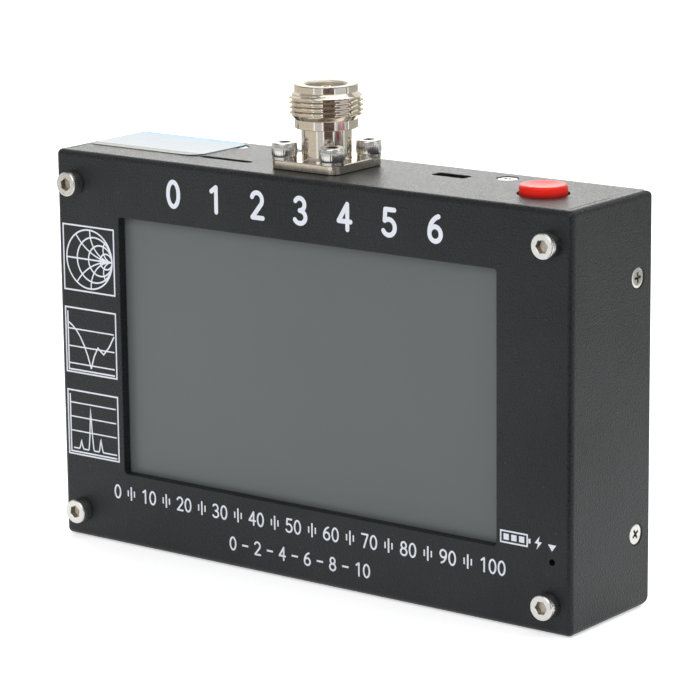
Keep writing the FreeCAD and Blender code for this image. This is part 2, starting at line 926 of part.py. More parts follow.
def make_coax_body():
    flange = block(around(coax_x, flange_width), around(coax_y, flange_width),
                   (case_height, case_height + flange_thickness))
    flange = rounded(flange, flange_corner, Vector(0, 0, 1))
    holes = [bar(thread_radius + through_fit, Vector(x, y, case_height - past),
                 Vector(x, y, case_height + flange_thickness + past)) for x, y in flange_screw_places()]
    root = thread_crest_radius - thread_depth
    rise = (thread_pitch - thread_crest) / 2
    profile = [(0, 0), (neck_radius, 0), (neck_radius, collar_base), (collar_radius, collar_base),
               (collar_radius, collar_top), (root, thread_base)]
    for turn in range(thread_turns):
        foot = thread_base + turn * thread_pitch
        profile.append((thread_crest_radius, foot + rise))
        profile.append((thread_crest_radius, foot + rise + thread_crest))
        profile.append((root, foot + thread_pitch))
    profile += [(nose_radius, thread_top + nose_chamfer), (nose_radius, coax_height), (0, coax_height)]
    barrel = aimed(turned_profile(profile), Vector(coax_x, coax_y, case_height), Vector(0, 0, 1))
    spigot = bar(spigot_radius, Vector(coax_x, coax_y, inner_top),
                 Vector(coax_x, coax_y, case_height + flange_thickness))
    bore = turned_profile([(0, -sheet - past), (bore_radius, -sheet - past),
                           (bore_radius, coax_height - bore_chamfer),
                           (bore_radius + bore_chamfer, coax_height),
                           (bore_radius + bore_chamfer, coax_height + past), (0, coax_height + past)])
    bore.translate(Vector(coax_x, coax_y, case_height))
    return joined([flange.cut(holes), barrel, spigot]).cut(bore)


def make_coax_insulator():
    top = case_height + coax_height - insulator_recess
    radius = bore_radius - thread_fit
    sleeve = bar(radius, Vector(coax_x, coax_y, inner_top - insulator_tail), Vector(coax_x, coax_y, top))
    hole = bar(contact_radius + thread_fit, Vector(coax_x, coax_y, 0), Vector(coax_x, coax_y, top + past))
    return sleeve.cut(hole)


def make_coax_contact():
    """The centre contact: a slotted socket above, and a solid tail below."""
    top = case_height + coax_height - contact_recess
    bottom = inner_top - contact_tail
    taper = contact_radius - contact_tip_radius
    profile = [(0, bottom), (contact_radius, bottom), (contact_radius, top - 2 * taper),
               (contact_tip_radius, top), (0, top)]
    contact = turned_profile(profile)
    slot_floor = top - contact_slot_depth
    drilled = bar(contact_bore_radius, Vector(0, 0, slot_floor), Vector(0, 0, top + past))
    depth = (slot_floor, top + past)
    across = around(0, 2 * (contact_radius + past))
    slots = [block(across, around(0, contact_slot), depth), block(around(0, contact_slot), across, depth)]
    contact = contact.cut([drilled] + slots)
    contact.translate(Vector(coax_x, coax_y, 0))
    return contact


def make_coax_strap():
    """The copper strip from the contact's tail to the radio board."""
    tail_end = inner_top - contact_tail
    height = (tail_end - strap_thickness, tail_end)
    width = around(coax_x, strap_width)
    bridge = block(width, (coax_y - contact_radius, radio_front), height)
    foot = block(width, (radio_front - strap_thickness, radio_front), (strap_end, tail_end))
    return joined([bridge, foot])


def make_flange_screws():
    screw = cap_screw(flange_screw_length)
    seat = case_height + flange_thickness + washer_thickness
    return Part.makeCompound([aimed(screw, Vector(x, y, seat), Vector(0, 0, 1))
                              for x, y in flange_screw_places()])


def make_flange_washers():
    """Split spring washers."""
    washers = []
    foot = case_height + flange_thickness
    for x, y in flange_screw_places():
        ring = bar(washer_radius, Vector(x, y, foot), Vector(x, y, foot + washer_thickness))
        depth = (foot - past, foot + washer_thickness + past)
        hole = bar(thread_radius + through_fit, Vector(x, y, depth[0]), Vector(x, y, depth[1]))
        split = block((x, x + washer_radius + past), around(y, washer_split), depth)
        washers.append(ring.cut([hole, split]))
    return Part.makeCompound(washers)


def make_flange_nuts():
    nuts = []
    for x, y in flange_screw_places():
        nut = hexagon(nut_flats, Vector(x, y, inner_top - nut_height), Vector(x, y, inner_top))
        tapped = bar(thread_radius + thread_fit, Vector(x, y, inner_top - nut_height - past),
                     Vector(x, y, inner_top + past))
        nuts.append(nut.cut(tapped))
    return Part.makeCompound(nuts)


# ---------------------------------------------------------------- power button and switch

def make_power_button():
    top = case_height + button_proud
    bottom = top - button_height
    cap = bar(button_radius, Vector(button_x, button_y, bottom), Vector(button_x, button_y, top))
    cap = cap.makeFillet(button_round, edges_at_height(cap, top))
    dish_radius = button_radius - button_rim
    ball_radius = (dish_radius ** 2 + button_dish ** 2) / (2 * button_dish)
    ball = Part.makeSphere(ball_radius, Vector(button_x, button_y, top + ball_radius - button_dish))
    socket = block(around(button_x, plunger_width), around(button_y, plunger_width),
                   (bottom - past, bottom + plunger_grip))
    return cap.cut([ball, socket])


def make_switch_plunger():
    bottom = case_height + button_proud - button_height
    foot_top = switch_top - switch_wall - plunger_fit
    stem = block(around(button_x, plunger_width), around(button_y, plunger_width),
                 (foot_top, bottom + plunger_grip))
    foot = block(around(button_x, plunger_foot_width), around(button_y, plunger_foot_width),
                 (foot_top - plunger_foot_height, foot_top))
    return joined([stem, foot])


def make_switch_housing():
    top = switch_top
    bottom = top - switch_body_height
    body = block(around(button_x, switch_width), (radio_front - switch_depth, radio_front), (bottom, top))
    cavity_width = plunger_foot_width + 2 * plunger_fit
    cavity = block(around(button_x, cavity_width), around(button_y, cavity_width),
                   (bottom + switch_wall, top - switch_wall))
    mouth_width = plunger_width + 2 * plunger_fit
    mouth = block(around(button_x, mouth_width), around(button_y, mouth_width),
                  (bottom + switch_wall, top + past))
    return body.cut([cavity, mouth])


def make_switch_spring():
    """The coil spring under the plunger."""
    low = switch_top - switch_body_height + switch_wall + spring_wire_radius
    high = switch_top - switch_wall - plunger_fit - plunger_foot_height - spring_wire_radius
    height = high - low
    helix = Part.makeHelix(height / spring_turns, height, spring_radius)
    angles = [2 * math.pi * side / spring_wire_sides for side in range(spring_wire_sides)]
    corners = [Vector(spring_radius + spring_wire_radius * math.cos(angle), 0,
                      spring_wire_radius * math.sin(angle)) for angle in angles]
    section = Part.makePolygon(corners + corners[:1])
    coil = Part.Wire(helix.Edges).makePipeShell([section], True, True)
    coil.translate(Vector(button_x, button_y, low))
    return coil


def make_switch_terminals():
    terminals = [block(around(x, terminal_width), (radio_front, radio_back + terminal_tail),
                       around(z, terminal_width)) for x, z in terminal_places()]
    return Part.makeCompound(terminals)


# ---------------------------------------------------------------- charging and card sockets

def usb_outline(inset):
    """The charging socket's section, with its two bevelled corners, less an inset all round."""
    half = usb_width / 2 - inset
    front = radio_back + inset
    back = radio_back + usb_height - inset
    bevel = usb_bevel
    corners = [Vector(usb_x - half, front, 0), Vector(usb_x + half, front, 0),
               Vector(usb_x + half, back - bevel, 0), Vector(usb_x + half - bevel, back, 0),
               Vector(usb_x - half + bevel, back, 0), Vector(usb_x - half, back - bevel, 0)]
    return Part.Face(Part.makePolygon(corners + corners[:1]))


def make_usb_shell():
    top = inner_top - usb_recess
    outer = usb_outline(0).extrude(Vector(0, 0, usb_length))
    inner = usb_outline(usb_wall).extrude(Vector(0, 0, usb_length + 2 * past))
    inner.translate(Vector(0, 0, -past))
    shell = outer.cut(inner)
    shell.translate(Vector(0, 0, top - usb_length))
    return shell


def make_usb_tongue():
    """The plastic base and tongue inside the charging socket."""
    bottom = inner_top - usb_recess - usb_length
    base = usb_outline(usb_wall).extrude(Vector(0, 0, usb_length - tongue_length - tongue_recess))
    base.translate(Vector(0, 0, bottom))
    tongue = block(around(usb_x, tongue_width), around(radio_back + usb_height / 2, tongue_thickness),
                   (bottom, bottom + usb_length - tongue_recess))
    return joined([base, tongue])


def card_limits():
    """The card socket's height range."""
    return (board_top - card_socket_length, board_top)


def make_card_socket():
    low, high = card_limits()
    body = block(around(card_x, card_socket_width),
                 (control_back, control_back + card_socket_height - card_cover), (low, high))
    room = block(around(card_x, card_width), (control_back + card_floor, radio_front),
                 (low + card_stop, high + past))
    return body.cut(room)


def make_card_socket_cover():
    low, high = card_limits()
    back = control_back + card_socket_height
    return block(around(card_x, card_socket_width), (back - card_cover, back), (low, high))


# ---------------------------------------------------------------- charge light

def make_charge_light():
    """A round lamp: its dome is behind the hole in the front, and its rim is nearer the board."""
    x = light_x()
    back = control_front - light_standoff
    tip = sheet + module_fit
    dome_front = tip + light_radius
    body = bar(light_radius, Vector(x, dome_front, light_z), Vector(x, back, light_z))
    dome = Part.makeSphere(light_radius, Vector(x, dome_front, light_z))
    rim = bar(light_rim_radius, Vector(x, back - light_rim_height, light_z), Vector(x, back, light_z))
    return joined([body, dome, rim])


def make_charge_light_leads():
    leads = [block(around(x, light_lead_width),
                   (control_front - light_standoff, control_back + light_lead_tail),
                   around(z, light_lead_width)) for x, z in light_lead_places()]
    return Part.makeCompound(leads)


# ---------------------------------------------------------------- board headers and chips

def header_limits():
    """The header blocks' limits across X and Z."""
    width = header_columns * header_pitch
    height = header_rows * header_pitch
    return around(header_x, width), around(header_z, height)


def make_header_plug():
    x, z = header_limits()
    body = block(x, (control_back, control_back + header_plug_height), z)
    back = control_back + header_plug_height
    return body.cut(square_holes(header_pin_places(), header_pin_width, control_back, back))


def make_header_pins():
    front = control_front - header_pin_tail
    back = control_back + header_plug_height + header_gap + header_pin_reach
    return Part.makeCompound([block(around(x, header_pin_width), (front, back), around(z, header_pin_width))
                              for x, z in header_pin_places()])


def make_header_socket():
    x, z = header_limits()
    front = control_back + header_plug_height + header_gap
    body = block(x, (front, radio_front), z)
    width = header_pin_width + 2 * header_pin_fit
    depth = (front - past, radio_front - header_socket_floor)
    return body.cut([block(around(pin_x, width), depth, around(pin_z, width))
                     for pin_x, pin_z in header_pin_places()])


def chip(x, z, width, length, front, back):
    """A flat package on a board, between two depths."""
    body = block(around(x, width), (front, back), around(z, length))
    return rounded(body, chip_corner, Vector(0, 1, 0))


def make_processor():
    return chip(processor_x, processor_z, processor_width, processor_width,
                control_back, control_back + processor_height)


def make_memory_chip():
    return chip(memory_x, memory_z, memory_width, memory_length, control_back, control_back + memory_height)


def make_clock_crystal():
    """A low metal can with round ends."""
    can = block(around(crystal_x, crystal_width), (control_back, control_back + crystal_height),
                around(crystal_z, crystal_length))
    return rounded(can, crystal_round, Vector(0, 1, 0))


def shield_limits(inset):
    half_width = shield_width / 2 - inset
    return ((shield_x - half_width, shield_x + half_width),
            (shield_top - shield_length + inset, shield_top - inset))


def make_shield_frame():
    x, z = shield_limits(shield_wall + shield_fit)
    inner_x, inner_z = shield_limits(2 * shield_wall + shield_fit)
    back = radio_front
    front = radio_front - shield_height + shield_wall
    return block(x, (front, back), z).cut(block(inner_x, (front - past, back + past), inner_z))


def make_shield_lid():
    x, z = shield_limits(0)
    inner_x, inner_z = shield_limits(shield_wall)
    front = radio_front - shield_height
    lid = block(x, (front, front + shield_lid_skirt), z)
    return lid.cut(block(inner_x, (front + shield_wall, radio_front), inner_z))


def make_radio_chips():
    """Three packages in a row under the shield."""
    z = shield_top - shield_length / 2
    chips = [chip(shield_x + step * radio_chip_pitch, z, radio_chip_width, radio_chip_width,
                  radio_front - radio_chip_height, radio_front) for step in (-1, 0, 1)]
    return Part.makeCompound(chips)


def make_charger_chip():
    return chip(charger_x, charger_z, charger_width, charger_width, radio_back, radio_back + charger_height)


def make_charger_choke():
    return chip(charger_x, choke_z, choke_width, choke_width, radio_back, radio_back + choke_height)


def make_small_parts():
    """A row of small capacitors beside the processor."""
    first = processor_x - (small_part_count - 1) / 2 * small_part_pitch
    z = processor_z + processor_width / 2 + small_part_length
    parts = [block(around(first + step * small_part_pitch, small_part_width),
                   (control_back, control_back + small_part_height), around(z, small_part_length))
             for step in range(small_part_count)]
    return Part.makeCompound(parts)


# ---------------------------------------------------------------- cell and leads

def make_cell():
    """The pouch cell, with its protection circuit folded under tape at the right end."""
    right = cell_x + cell_length / 2
    pouch = block((cell_x - cell_length / 2, right), (cell_front, cell_back), around(cell_z, cell_height))
    pouch = rounded(pouch, cell_round, Vector(0, 0, 1))
    ledge = block((right - cell_fold_overlap, right + cell_ledge),
                  (cell_back - cell_ledge_thickness, cell_back), around(cell_z, cell_ledge_height))
    return joined([pouch, ledge])


def make_cell_tape():
    return block(around(cell_x, cell_length - 2 * cell_tape_border), (cell_back, cover_front),
                 around(cell_z, cell_height - 2 * cell_tape_border))


def plug_y():
    """Middle depth of the battery plug."""
    return radio_back + socket_height / 2


def make_cell_plug():
    return block(around(plug_x, plug_width), around(plug_y(), plug_height), (plug_z, plug_z + plug_length))


def make_cell_socket():
    bottom = plug_z + plug_length - plug_insertion
    body = block(around(plug_x, socket_width), (radio_back, radio_back + socket_height),
                 (bottom, bottom + socket_length))
    room = block(around(plug_x, plug_width + 2 * plug_fit), around(plug_y(), plug_height + 2 * plug_fit),
                 (bottom - past, plug_z + plug_length + plug_fit))
    return body.cut(room)


def bent_wire(points, radius, bend):
    """A round wire along straight runs, with the same bend radius at each inner point."""
    edges = []
    start = points[0]
    for corner, after in zip(points[1:-1], points[2:]):
        come = (corner - start).normalize()
        leave = (after - corner).normalize()
        half_turn = come.getAngle(leave) / 2
        reach = bend * math.tan(half_turn)
        arc_start = corner - come * reach
        arc_end = corner + leave * reach
        inward = (leave - come).normalize()
        arc_middle = corner + inward * (bend / math.cos(half_turn) - bend)
        edges.append(Part.LineSegment(start, arc_start).toShape())
        edges.append(Part.Arc(arc_start, arc_middle, arc_end).toShape())
        start = arc_end
    edges.append(Part.LineSegment(start, points[-1]).toShape())
    path = Part.Wire(edges)
    section = Part.Wire(Part.makeCircle(radius, points[0], points[1] - points[0]))
    return path.makePipeShell([section], True, False)


def cell_lead(side):
    """A lead from the cell's folded end, across and up to the plug. Side is -1 or 1."""
    x = plug_x + side * lead_pitch / 2
    z = lead_exit_z - side * lead_pitch / 2
    y = cell_back - cell_ledge_thickness / 2
    edge = cell_x + cell_length / 2 + cell_ledge
    return bent_wire([Vector(edge, y, z), Vector(x, y, z), Vector(x, plug_y(), plug_z - lead_straight),
                      Vector(x, plug_y(), plug_z)], lead_radius, lead_bend)


def make_cell_lead_red():
    return cell_lead(1)


def make_cell_lead_black():
    return cell_lead(-1)


# ---------------------------------------------------------------- the files, one for each sub-part

makers = {
    "front_shell": make_front_shell,
    "rear_cover": make_rear_cover,
    "cover_screws": make_cover_screws,
    "front_screws": make_front_screws,
    "top_label": make_label,
    "window_gasket": make_window_gasket,
    "touch_panel": make_touch_panel,
    "display_bezel": make_display_bezel,
    "display_glass": make_display_glass,
    "light_guide": make_light_guide,
    "backlight_tray": make_backlight_tray,
    "display_tape": make_display_tape,
    "display_ribbon": make_display_ribbon,
    "ribbon_socket": make_ribbon_socket,
    "ribbon_latch": make_ribbon_latch,
    "control_board": make_control_board,
    "radio_board": make_radio_board,
    "front_posts": make_front_posts,
    "board_posts": make_board_posts,
    "board_screws": make_board_screws,
    "coax_body": make_coax_body,
    "coax_insulator": make_coax_insulator,
    "coax_contact": make_coax_contact,
    "coax_strap": make_coax_strap,
    "flange_screws": make_flange_screws,
    "flange_washers": make_flange_washers,
    "flange_nuts": make_flange_nuts,
    "power_button": make_power_button,
    "switch_plunger": make_switch_plunger,
    "switch_housing": make_switch_housing,
    "switch_spring": make_switch_spring,
    "switch_terminals": make_switch_terminals,
    "usb_shell": make_usb_shell,
    "usb_tongue": make_usb_tongue,
    "card_socket": make_card_socket,
    "card_socket_cover": make_card_socket_cover,
    "charge_light": make_charge_light,
    "charge_light_leads": make_charge_light_leads,
    "header_plug": make_header_plug,
    "header_pins": make_header_pins,
    "header_socket": make_header_socket,
    "processor": make_processor,
    "memory_chip": make_memory_chip,
    "clock_crystal": make_clock_crystal,
    "small_parts": make_small_parts,
    "shield_frame": make_shield_frame,
    "shield_lid": make_shield_lid,
    "radio_chips": make_radio_chips,
    "charger_chip": make_charger_chip,
    "charger_choke": make_charger_choke,
    "cell": make_cell,
    "cell_tape": make_cell_tape,
    "cell_plug": make_cell_plug,
    "cell_socket": make_cell_socket,
    "cell_lead_red": make_cell_lead_red,
    "cell_lead_black": make_cell_lead_black,
}

os.makedirs("parts", exist_ok=True)
for name, make in makers.items():
    shape = make()
    shape.translate(Vector(0, -case_depth / 2, 0))
    shape.exportStep("parts/" + name + ".step")
    print(name, len(shape.Solids), "solids", round(shape.Volume, 3), "mm3", "valid", shape.isValid())
print("case", case_width, "x", round(case_depth, 3), "x", case_height)
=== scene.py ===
import json
import math

import bmesh
import bpy
from mathutils import Matrix, Vector


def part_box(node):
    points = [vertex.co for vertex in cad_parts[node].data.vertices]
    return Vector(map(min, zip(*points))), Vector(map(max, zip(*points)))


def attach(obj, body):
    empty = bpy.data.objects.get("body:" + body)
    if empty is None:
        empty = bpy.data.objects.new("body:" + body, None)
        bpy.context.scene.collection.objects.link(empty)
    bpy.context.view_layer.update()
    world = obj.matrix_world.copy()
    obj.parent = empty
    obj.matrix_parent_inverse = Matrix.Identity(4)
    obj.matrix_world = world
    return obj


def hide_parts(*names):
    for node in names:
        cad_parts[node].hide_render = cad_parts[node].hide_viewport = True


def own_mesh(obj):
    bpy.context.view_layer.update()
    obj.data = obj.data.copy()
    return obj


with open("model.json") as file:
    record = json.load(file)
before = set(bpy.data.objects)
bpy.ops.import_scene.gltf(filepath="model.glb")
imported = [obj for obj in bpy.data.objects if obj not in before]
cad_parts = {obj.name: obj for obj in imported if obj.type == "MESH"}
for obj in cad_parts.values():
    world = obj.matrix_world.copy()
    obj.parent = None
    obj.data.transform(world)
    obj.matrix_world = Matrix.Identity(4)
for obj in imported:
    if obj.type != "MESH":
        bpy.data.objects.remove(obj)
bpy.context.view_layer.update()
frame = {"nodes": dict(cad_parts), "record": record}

# The part's lengths are millimetres in the CAD frame, and become metres when a mesh is made.
# Lengths in materials and in the studio are metres.
mm = 0.001
tau = 2 * math.pi
same_point = 1e-5


# ---------------------------------------------------------------- materials

class Finish:
    """A material whose colour, roughness and relief come from procedural nodes."""

    def __init__(self, name, metallic=0.0, level=0.5, coat=0.0, coat_roughness=0.05, ior=1.5,
                 transmission=0.0, subsurface=0.0, subsurface_scale=0.001):
        self.material = bpy.data.materials.new(name)
        self.material.use_nodes = True
        self.tree = self.material.node_tree
        self.shader = self.tree.nodes["Principled BSDF"]
        fixed = {"Metallic": metallic, "Specular IOR Level": level, "Coat Weight": coat,
                 "Coat Roughness": coat_roughness, "IOR": ior, "Transmission Weight": transmission,
                 "Subsurface Weight": subsurface}
        for socket, value in fixed.items():
            self.shader.inputs[socket].default_value = value
        if subsurface:
            self.shader.inputs["Subsurface Scale"].default_value = subsurface_scale
        self.place = self.node("ShaderNodeTexCoord").outputs["Object"]

    def node(self, kind, inputs=(), **settings):
        """A node whose inputs are each linked to a socket or set to a value."""
        made = self.tree.nodes.new(kind)
        for key, value in settings.items():
            setattr(made, key, value)
        for key, value in dict(inputs).items():
            if isinstance(value, bpy.types.NodeSocket):
                self.tree.links.new(value, made.inputs[key])
            else:
                made.inputs[key].default_value = value
        return made

    def stretched(self, scale):
        return self.node("ShaderNodeMapping", {"Vector": self.place, "Scale": scale}).outputs[0]

    def noise(self, scale, detail=2.0, stretch=None, distortion=0.0):
        place = self.stretched(stretch) if stretch else self.place
        return self.node("ShaderNodeTexNoise", {"Vector": place, "Scale": scale, "Detail": detail,
                                                "Distortion": distortion}).outputs[0]

    def cells(self, scale):
        return self.node("ShaderNodeTexVoronoi", {"Vector": self.place, "Scale": scale}).outputs["Distance"]

    def ranged(self, value, low, high, out_low=0.0, out_high=1.0):
        """The value's place between low and high, as a number from out_low to out_high."""
        inputs = {0: value, 1: low, 2: high, 3: out_low, 4: out_high}
        return self.node("ShaderNodeMapRange", inputs).outputs[0]

    def part(self, axis):
        """One coordinate of the place, in metres."""
        return self.node("ShaderNodeSeparateXYZ", {0: self.place}).outputs[axis]

    def calculated(self, operation, a, b=0.0):
        return self.node("ShaderNodeMath", {0: a, 1: b}, operation=operation).outputs[0]

    def mixed(self, share, a, b):
        """A colour that goes from a to b as the share goes from 0 to 1."""
        a = a if isinstance(a, bpy.types.NodeSocket) else (*a, 1.0)
        b = b if isinstance(b, bpy.types.NodeSocket) else (*b, 1.0)
        return self.node("ShaderNodeMix", {0: share, 6: a, 7: b}, data_type="RGBA").outputs[2]

    def colour(self, value):
        self.tree.links.new(value, self.shader.inputs["Base Color"])
        return self

    def roughness(self, value):
        self.tree.links.new(value, self.shader.inputs["Roughness"])
        return self

    def relief(self, *layers):
        """Bumps, each (height, distance in mm), the coarsest first."""
        normal = None
        for height, distance in layers:
            inputs = {"Height": height, "Distance": distance * mm, "Strength": 1.0}
            if normal:
                inputs["Normal"] = normal
            normal = self.node("ShaderNodeBump", inputs).outputs[0]
        self.tree.links.new(normal, self.shader.inputs["Normal"])
        return self


def plain_finish(name, dark, light, rough, mottle=120, grain=1500, depth=0.01, stretch=None, **fixed):
    """Colour that drifts between two shades, roughness between two values, and a fine grain."""
    made = Finish(name, **fixed)
    drift = made.noise(mottle, 3.0)
    fine = made.noise(grain, 2.0, stretch)
    shade = made.ranged(made.calculated("ADD", drift, fine), 0.7, 1.3)
    made.colour(made.mixed(shade, dark, light))
    made.roughness(made.ranged(fine, 0.3, 0.7, *rough))
    return made.relief((fine, depth))


def black_coat():
    """Fine-textured powder coat: small rounded grains on a slight orange peel."""
    made = Finish("black_coat", level=0.29)
    grain = made.noise(3000, 2.0)
    cells = made.cells(2600)
    peel = made.noise(520, 1.0)
    drift = made.calculated("MULTIPLY", made.noise(35, 3.0), 0.7)
    speckle = made.calculated("MULTIPLY", grain, 0.6)
    shade = made.ranged(made.calculated("ADD", drift, speckle), 0.5, 0.8)
    body = made.mixed(shade, (0.0052, 0.0068, 0.0084), (0.0142, 0.0164, 0.0184))
    specks = made.ranged(made.cells(330), 0.060, 0.040)
    made.colour(made.mixed(made.calculated("MULTIPLY", specks, 0.6), body, (0.085, 0.088, 0.090)))
    made.roughness(made.ranged(grain, 0.3, 0.7, 0.25, 0.43))
    return made.relief((peel, 0.004), (cells, 0.055), (grain, 0.120))


def printed_label():
    """White film with faint ruled lines, a pale blue rear band, a grey front margin, and a painted shadow
    along its front edge.

    Its places are metres along Y, and for the printed width along X.
    """
    made = Finish("label_film", level=0.28)
    rule_gap, rule_half = 0.0011, 0.00008
    printed_middle, printed_half = -0.0511, 0.0128
    band_start, band_full = 0.0096, 0.0112
    margin_start, margin_full = -0.0028, -0.0031
    edge_shadow_start, edge_shadow_full = -0.0052, -0.0054
    tint_start, tint_full = -0.003, 0.010
    dull_foot, dull_top = -0.0044, -0.0038
    fine = made.noise(900, 3.0)
    along = made.part("Y")
    paper = made.mixed(fine, (0.49, 0.535, 0.565), (0.55, 0.585, 0.61))
    tint = made.ranged(along, tint_start, tint_full, 0.0, 0.6)
    body = made.mixed(tint, paper, (0.45, 0.53, 0.59))
    lines = made.ranged(made.calculated("PINGPONG", along, rule_gap), rule_half, 2 * rule_half, 0.55, 0.0)
    off = made.calculated("ABSOLUTE", made.calculated("SUBTRACT", made.part("X"), printed_middle))
    inside = made.ranged(off, printed_half, printed_half + 0.0001, 1.0, 0.0)
    body = made.mixed(made.calculated("MULTIPLY", lines, inside), body, (0.27, 0.42, 0.56))
    band = made.ranged(along, band_start, band_full, 0.0, 0.85)
    body = made.mixed(band, body, (0.34, 0.54, 0.74))
    margin = made.ranged(along, margin_full, margin_start, 1.0, 0.0)
    grey = made.mixed(made.ranged(along, dull_foot, dull_top), (0.33, 0.33, 0.30), (0.26, 0.265, 0.245))
    body = made.mixed(margin, body, grey)
    # painted shadow: a thin dark line just inside the film's front edge stands in for the shadow of that
    # edge
    rim = made.ranged(along, edge_shadow_full, edge_shadow_start, 1.0, 0.0)
    made.colour(made.mixed(rim, body, (0.17, 0.17, 0.16)))
    made.roughness(made.ranged(fine, 0.3, 0.7, 0.34, 0.46))
    return made.relief((made.noise(180, 2.0), 0.02), (fine, 0.003))


def touch_film():
    """Satin anti-glare film: a very fine even sparkle on grey, and a painted reflection that makes it a
    little lighter to the left.
    """
    made = Finish("touch_film", level=0.42)
    sparkle = made.noise(5200, 1.0)
    # painted reflection: a ramp across X makes the grey lighter to the left and darker to the right
    painted_reflection_ramp = made.ranged(made.part("X"), -0.05, 0.05, 0.25, -0.25)
    drift = made.calculated("ADD", made.noise(14, 2.0), painted_reflection_ramp)
    made.colour(made.mixed(drift, (0.108, 0.121, 0.124), (0.136, 0.151, 0.154)))
    made.roughness(made.ranged(sparkle, 0.3, 0.7, 0.30, 0.38))
    return made.relief((sparkle, 0.004))


def bright_nickel():
    """Turned brass under bright nickel, with fine tool lines round the axis."""
    made = Finish("nickel_brass", metallic=1.0)
    lines = made.noise(900, 3.0, (0.25, 0.25, 9.0))
    drift = made.noise(160, 3.0)
    made.colour(made.mixed(drift, (0.66, 0.595, 0.505), (0.77, 0.72, 0.645)))
    haze = made.calculated("ADD", lines, made.calculated("MULTIPLY", drift, 0.5))
    made.roughness(made.ranged(haze, 0.5, 1.0, 0.06, 0.15))
    return made.relief((lines, 0.0015))


def bright_steel():
    """Zinc plate: bright, faintly mottled, with dull specks."""
    made = Finish("bright_steel", metallic=1.0)
    mottle = made.noise(700, 3.0)
    fine = made.noise(3600, 2.0)
    made.colour(made.mixed(mottle, (0.55, 0.545, 0.525), (0.67, 0.66, 0.64)))
    made.roughness(made.ranged(made.calculated("ADD", mottle, fine), 0.7, 1.3, 0.14, 0.27))
    return made.relief((mottle, 0.004), (fine, 0.0015))


def red_button():
    """Moulded red plastic with a satin skin, and painted shade at its foot, where it goes down into the
    case.
    """
    made = Finish("red_plastic", level=0.19, subsurface=0.85, subsurface_scale=0.004)
    drift = made.noise(260, 2.0)
    fine = made.noise(2600, 2.0)
    shade = made.mixed(drift, (0.94, 0.024, 0.012), (0.99, 0.034, 0.018))
    # painted shade: the red turns darker below the height of the hole's rim
    hole, clear_of_hole = 0.0876, 0.0884
    foot = made.ranged(made.part("Z"), hole, clear_of_hole, 1.0, 0.0)
    made.colour(made.mixed(foot, shade, (0.62, 0.012, 0.008)))
    made.roughness(made.ranged(fine, 0.3, 0.7, 0.26, 0.36))
    return made.relief((fine, 0.002))


def board_laminate():
    """Green solder mask over copper tracks, with tinned pads."""
    made = Finish("board_laminate", coat=0.5, coat_roughness=0.15)
    tracks = made.ranged(made.cells(330), 0.36, 0.40)
    weave = made.noise(1400, 2.0)
    mask = made.mixed(weave, (0.012, 0.085, 0.040), (0.020, 0.110, 0.052))
    body = made.mixed(tracks, mask, (0.035, 0.165, 0.080))
    pads = made.ranged(made.cells(150), 0.10, 0.085)
    made.colour(made.mixed(pads, body, (0.62, 0.60, 0.54)))
    made.roughness(made.ranged(weave, 0.3, 0.7, 0.28, 0.42))
    return made.relief((tracks, 0.035), (weave, 0.004))


def pouch_foil():
    """Laminated foil with the soft creases of a pressed pouch."""
    made = Finish("cell_foil", metallic=0.75)
    creases = made.noise(60, 4.0, (1, 1, 2.5), 0.6)
    fine = made.noise(1200, 2.0, (1, 1, 12))
    made.colour(made.mixed(creases, (0.55, 0.56, 0.58), (0.70, 0.71, 0.73)))
    made.roughness(made.ranged(fine, 0.3, 0.7, 0.30, 0.45))
    return made.relief((creases, 0.18), (fine, 0.006))


